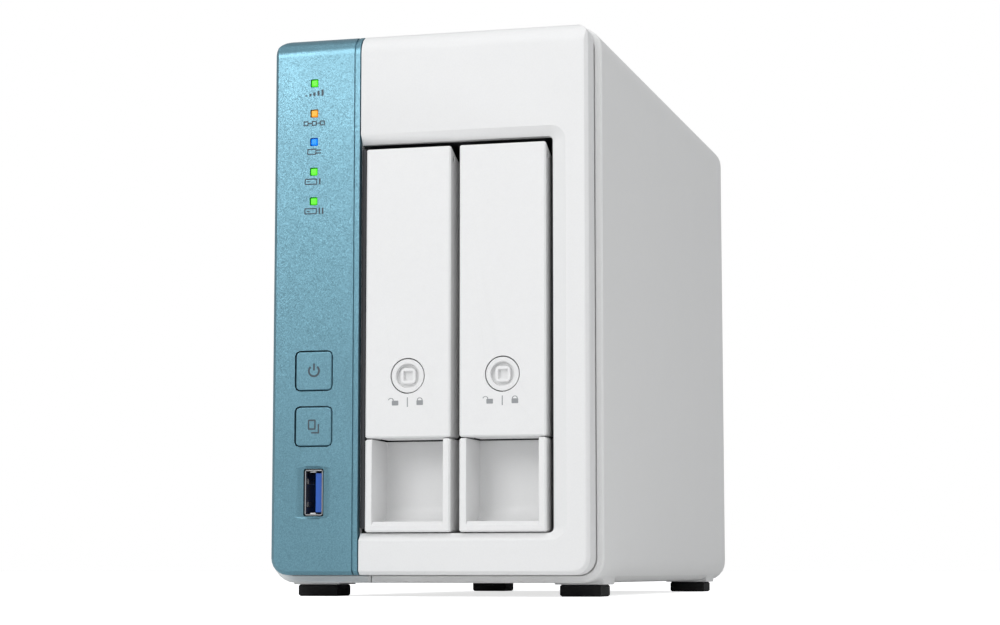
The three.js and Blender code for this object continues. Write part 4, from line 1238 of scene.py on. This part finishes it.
@dataclass
class Chassis:
    """The drive cage with its backplane and sockets, and the main board with its parts."""

    chips: tuple[tuple[float, float, float, float, float], ...] = (
        (62, 58, 22, 22, 2.0), (50, 92, 11, 15, 1.2), (66, 92, 11, 15, 1.2), (20, 60, 9, 9, 1.0),
        (130, 30, 12, 12, 1.2), (20, 105, 16, 10, 1.2),
    )

    def build(self) -> list[bpy.types.Object]:
        """Builds the inside.

        Returns:
            Its pieces.
        """
        made = [
            moulded("drive_cage", Finish.CAGE, 0.15),
            dress("backplane_board", Finish.BOARD),
            dress("main_board", Finish.BOARD),
            moulded("drive_socket_1", Finish.BLACK, 0.15),
            moulded("drive_socket_2", Finish.BLACK, 0.15),
            moulded("heat_sink", Finish.CAST, 0.2),
            moulded("coin_cell", Finish.PLATED, 0.3),
        ]
        return made + [self._main_parts(), self._backplane_parts()]

    def _main_parts(self) -> bpy.types.Object:
        """Builds the chips, capacitors and coils on the main board.

        Returns:
            The piece that holds them.
        """
        low, high = span("main_board")
        parts = Mesher()
        face = high.x
        for y, z, wide, tall, thick in self.chips:
            at = (face, low.y + y, low.z + z)
            parts.block(at, (face + thick, at[1] + wide, at[2] + tall), Finish.CHIP, 0.2)
            for leg in range(int(wide / 1.3)):
                y_leg = at[1] + 0.5 + leg * 1.3
                for z_leg in (at[2] - 0.9, at[2] + tall):
                    parts.block((face, y_leg, z_leg), (face + 0.3, y_leg + 0.5, z_leg + 0.9), Finish.PLATED)
        for step in range(6):
            y, z = low.y + 100 + (step % 3) * 11, low.z + 8 + (step // 3) * 12
            parts.rod(y, z, 3.1, face, face + 7.5, Plane.SIDE, Finish.PLATED, 0.4, 20)
            parts.rod(y, z, 3.3, face, face + 1.2, Plane.SIDE, Finish.CHIP, 0.2, 20)
        for step in range(22):
            y, z = low.y + 12 + (step * 37 % 160), low.z + 12 + (step * 53 % 34)
            parts.block((face, y, z), (face + 0.8, y + 2, z + 1.2), Finish.CERAMIC, 0.1)
        parts.block((face, high.y - 60, high.z - 12), (face + 8, high.y - 30, high.z - 5),
                    Finish.SOCKET_WHITE, 0.4)
        return parts.piece("main_board_parts", "enclosure", "circuit_board")

    def _backplane_parts(self) -> bpy.types.Object:
        """Builds the parts on the rear of the backplane.

        Returns:
            The piece that holds them.
        """
        low, high = span("backplane_board")
        parts = Mesher()
        face = high.y
        parts.block((low.x + 4, face, low.z + 12), (low.x + 10, face + 7, low.z + 42),
                    Finish.SOCKET_WHITE, 0.4)
        for step in range(3):
            z = low.z + 14 + step * 26
            parts.block((low.x + 26, face, z), (low.x + 36, face + 1.4, z + 10), Finish.CHIP, 0.2)
            parts.rod(low.x + 47, z + 6, 3.2, face, face + 7, Plane.FRONT, Finish.PLATED, 0.4, 20)
            parts.block((low.x + 15, face, z), (low.x + 17, face + 0.8, z + 1.2), Finish.CERAMIC, 0.1)
        for number in (1, 2):
            near, far = span(f"drive_socket_{number}")
            for step in range(12):
                z = near.z + 4 + step * 2.6
                parts.block((near.x + 1.7, near.y - 0.02, z), (near.x + 1.95, far.y - 1, z + 0.9),
                            Finish.GOLD)
        return parts.piece("backplane_parts", "enclosure", "circuit_board")


# ---------------------------------------------------------------- rear


@dataclass
class RearPanel:
    """The painted rear sheet with its ports, screws, reset button and pictograms."""

    film: float = 0.05
    edge: float = 0.12

    def build(self) -> list[bpy.types.Object]:
        """Builds the rear.

        Returns:
            Its pieces.
        """
        made = [
            moulded("rear_panel", Finish.POWDER, self.edge),
            moulded("network_port", Finish.PLATED, 0.2),
            moulded("power_jack", Finish.BLACK, 0.25),
            moulded("reset_button", Finish.BLACK, 0.15),
        ]
        for number in (1, 2, 3):
            made.append(moulded(f"case_screw_{number}", Finish.SCREW, 0.12))
        for number in (1, 2):
            stem = f"rear_usb_{number}"
            sleeve, core = f"rear_usb_sleeve_{number}", f"rear_usb_core_{number}"
            made += UsbPort(stem, sleeve, core, Finish.BLACK, 1).build()
        return made + [self._network_parts(), self._pictograms()]

    def _network_parts(self) -> bpy.types.Object:
        """Builds the network socket's eight contacts, black lining and two lamps.

        Returns:
            The piece that holds them.
        """
        low, high = span("network_port")
        middle = (low.z + high.z) / 2
        parts = Mesher()
        for step in range(8):
            z = middle - 3.56 + step * 1.016
            parts.block((high.x - 3.2, high.y - 12, z - 0.18), (high.x - 2.7, high.y - 2, z + 0.18),
                        Finish.GOLD, 0.05)
        parts.block((high.x - 9.3, high.y - 12.9, middle - 5.7), (high.x - 2.4, high.y - 12.4, middle + 5.7),
                    Finish.BLACK)
        for z, finish in ((middle - 6.3, Finish.GREEN), (middle + 6.3, Finish.ORANGE)):
            parts.block((low.x + 1.0, high.y - 0.3, z - 1.1), (low.x + 3.4, high.y + 0.12, z + 1.1),
                        finish, 0.12)
        return parts.piece("network_port_parts", "enclosure", "plated_steel")

    def _pictograms(self) -> bpy.types.Object:
        """Prints a plain sign beside each rear port.

        Returns:
            The piece that holds them.
        """
        face = span("rear_panel")[1].y
        near, far = face - 0.02, face + self.film
        ink, grey = Mesher(), Finish.GREY_INK
        low, high = span("network_port")
        u, v = high.x + 4.5, (low.z + high.z) / 2
        for du, dv in ((0, 1.5), (-1.6, -1.5), (1.6, -1.5)):
            ink.block((u + du - 0.7, near, v + dv - 0.6), (u + du + 0.7, far, v + dv + 0.6), grey)
        ink.block((u - 1.75, near, v - 0.15), (u + 1.75, far, v + 0.15), grey)
        ink.block((u - 0.15, near, v), (u + 0.15, far, v + 1), grey)
        for x in (u - 1.6, u + 1.6):
            ink.block((x - 0.15, near, v - 1), (x + 0.15, far, v), grey)
        for number in (1, 2):
            low, high = span(f"rear_usb_sleeve_{number}")
            v = (low.z + high.z) / 2
            ink.block((u - 0.15, near, v - 2.4), (u + 0.15, far, v + 1.9), grey)
            ink.prism([(u - 0.6, v + 1.8), (u + 0.6, v + 1.8), (u, v + 2.9)], near, far, Plane.FRONT, grey)
            ink.rod(u, v - 2.5, 0.65, near, far, Plane.FRONT, grey, steps=16)
            ink.block((u - 1.35, near, v - 0.6), (u - 1.05, far, v + 0.6), grey)
            ink.block((u - 1.2, near, v - 0.75), (u, far, v - 0.45), grey)
            ink.block((u + 1.05, near, v), (u + 1.35, far, v + 1.1), grey)
            ink.block((u, near, v - 0.15), (u + 1.2, far, v + 0.15), grey)
        low, high = span("power_jack")
        v = (low.z + high.z) / 2
        ink.band(arc(u, v, 1.6, 35, 325, 20), arc(u, v, 1.3, 35, 325, 20), near, far, Plane.FRONT, grey,
                 closed=False)
        ink.rod(u, v, 0.6, near, far, Plane.FRONT, grey, steps=16)
        return ink.piece("rear_signs", "enclosure", "painted_sheet", smooth=False)


@dataclass
class Fan:
    """The rear fan: frame, turning wheel with its hub disc, and four screws."""

    disc: float = 11.5

    def build(self) -> list[bpy.types.Object]:
        """Builds the fan.

        Returns:
            Its pieces.
        """
        made = [moulded("fan_frame", Finish.BLACK, 0.3), moulded("fan_rotor", Finish.BLACK, 0.3)]
        for number in (1, 2, 3, 4):
            made.append(moulded(f"fan_screw_{number}", Finish.SCREW, 0.12))
        low, high = span("fan_rotor")
        hub = Mesher()
        u, v = (low.x + high.x) / 2, (low.z + high.z) / 2
        hub.rod(u, v, self.disc, high.y - 0.1, high.y + 0.08, Plane.FRONT, Finish.PAPER, 0.05, 36)
        hub.band(arc(u, v, 9.6, 0, 360, 36)[:-1], arc(u, v, 8.9, 0, 360, 36)[:-1],
                 high.y + 0.05, high.y + 0.12, Plane.FRONT, Finish.GREY_INK)
        made.append(hub.piece("fan_hub_disc", "fan", "black_plastic"))
        return made


# ---------------------------------------------------------------- studio


@dataclass
class SoftLight:
    """A square softbox that points at the tower."""

    name: str
    place: Point
    size: float
    power: float

    def hang(self) -> None:
        """Adds the light."""
        data = bpy.data.lights.new(self.name, "AREA")
        data.shape = "SQUARE"
        data.size = self.size
        data.energy = self.power
        lamp = bpy.data.objects.new(self.name, data)
        lamp.location = self.place
        lamp.rotation_euler = (Vector((0, 0, 0.08)) - lamp.location).to_track_quat("-Z", "Y").to_euler()
        bpy.context.scene.collection.objects.link(lamp)


@dataclass
class Studio:
    """A plain white floor and surround, soft lights and the camera."""

    camera_place: Point = (0.1977, -0.7605, 0.0079)
    camera_turn: tuple[float, float, float] = (96.334, 0.013, 15.098)
    lens: float = 83.47
    floor_size: float = 12.0
    surround: float = 0.45
    floor_lift: float = 0.8
    lights: tuple[SoftLight, ...] = (
        SoftLight("Overhead_Softbox", (0.25, -0.6, 1.25), 1.2, 6.6),
        SoftLight("Front_Softbox", (-0.65, -1.65, 0.9), 0.85, 10.1),
        SoftLight("Right_Softbox", (0.55, -0.75, 0.5), 0.35, 0.1),
    )

    def build(self) -> None:
        """Builds the studio."""
        self._floor()
        self._world()
        for light in self.lights:
            light.hang()
        data = bpy.data.cameras.new("Camera")
        data.lens = self.lens
        data.sensor_width = 36.0
        data.clip_start = 0.01
        camera = bpy.data.objects.new("Camera", data)
        camera.location = self.camera_place
        camera.rotation_euler = [math.radians(angle) for angle in self.camera_turn]
        scene = bpy.context.scene
        scene.collection.objects.link(camera)
        scene.camera = camera
        scene.view_settings.view_transform = "Standard"
        scene.view_settings.look = "None"

    def _floor(self) -> None:
        """Lays the floor."""
        bm = bmesh.new()
        bmesh.ops.create_grid(bm, x_segments=1, y_segments=1, size=self.floor_size / 2)
        mesh = bpy.data.meshes.new("Floor")
        bm.to_mesh(mesh)
        bm.free()
        material, tree, shader = material_of("Floor_White")
        grain = EFFECTS.place(tree, Effect.GRAIN, Size=4 * MM)
        tone = between(tree, grain.outputs["Tone"], (0.9, 0.9, 0.9), (0.94, 0.94, 0.94))
        tree.links.new(tone, shader.inputs["Base Color"])
        shader.inputs["Roughness"].default_value = 0.9
        ray = put(tree, "LightPath").outputs["Is Camera Ray"]
        tree.links.new(tone, shader.inputs["Emission Color"])
        tree.links.new(calculate(tree, "MULTIPLY", ray, self.floor_lift), shader.inputs["Emission Strength"])
        mesh.materials.append(material)
        floor = bpy.data.objects.new("Floor", mesh)
        bpy.context.scene.collection.objects.link(floor)

    def _world(self) -> None:
        """Surrounds the tower with white that lights it softly."""
        world = bpy.data.worlds.new("Studio_White")
        world.use_nodes = True
        tree = world.node_tree
        seen = tree.nodes["Background"]
        seen.inputs[0].default_value = (1.0, 1.0, 1.0, 1.0)
        unseen = put(tree, "Background", {0: (0.97, 0.985, 1.0, 1.0), 1: self.surround})
        ray = put(tree, "LightPath")
        both = put(tree, "MixShader", {
            0: ray.outputs["Is Camera Ray"], 1: unseen.outputs[0], 2: seen.outputs[0],
        })
        tree.links.new(both.outputs[0], tree.nodes["World Output"].inputs["Surface"])
        bpy.context.scene.world = world


def main() -> None:
    """Builds the studio and every sub-assembly, and reports each piece."""
    logging.basicConfig(level=logging.INFO, format="%(name)s: %(message)s")
    Studio().build()
    builders = [
        Casing(), FrontBezel(), ControlPanel(), DriveTray(1), DriveTray(2), Chassis(), RearPanel(), Fan(),
    ]
    for builder in builders:
        for piece in builder.build():
            LOG.info("%s made %s, %d faces", type(builder).__name__, piece.name, len(piece.data.polygons))
    bpy.context.view_layer.update()


if __name__ == "__main__":
    main()
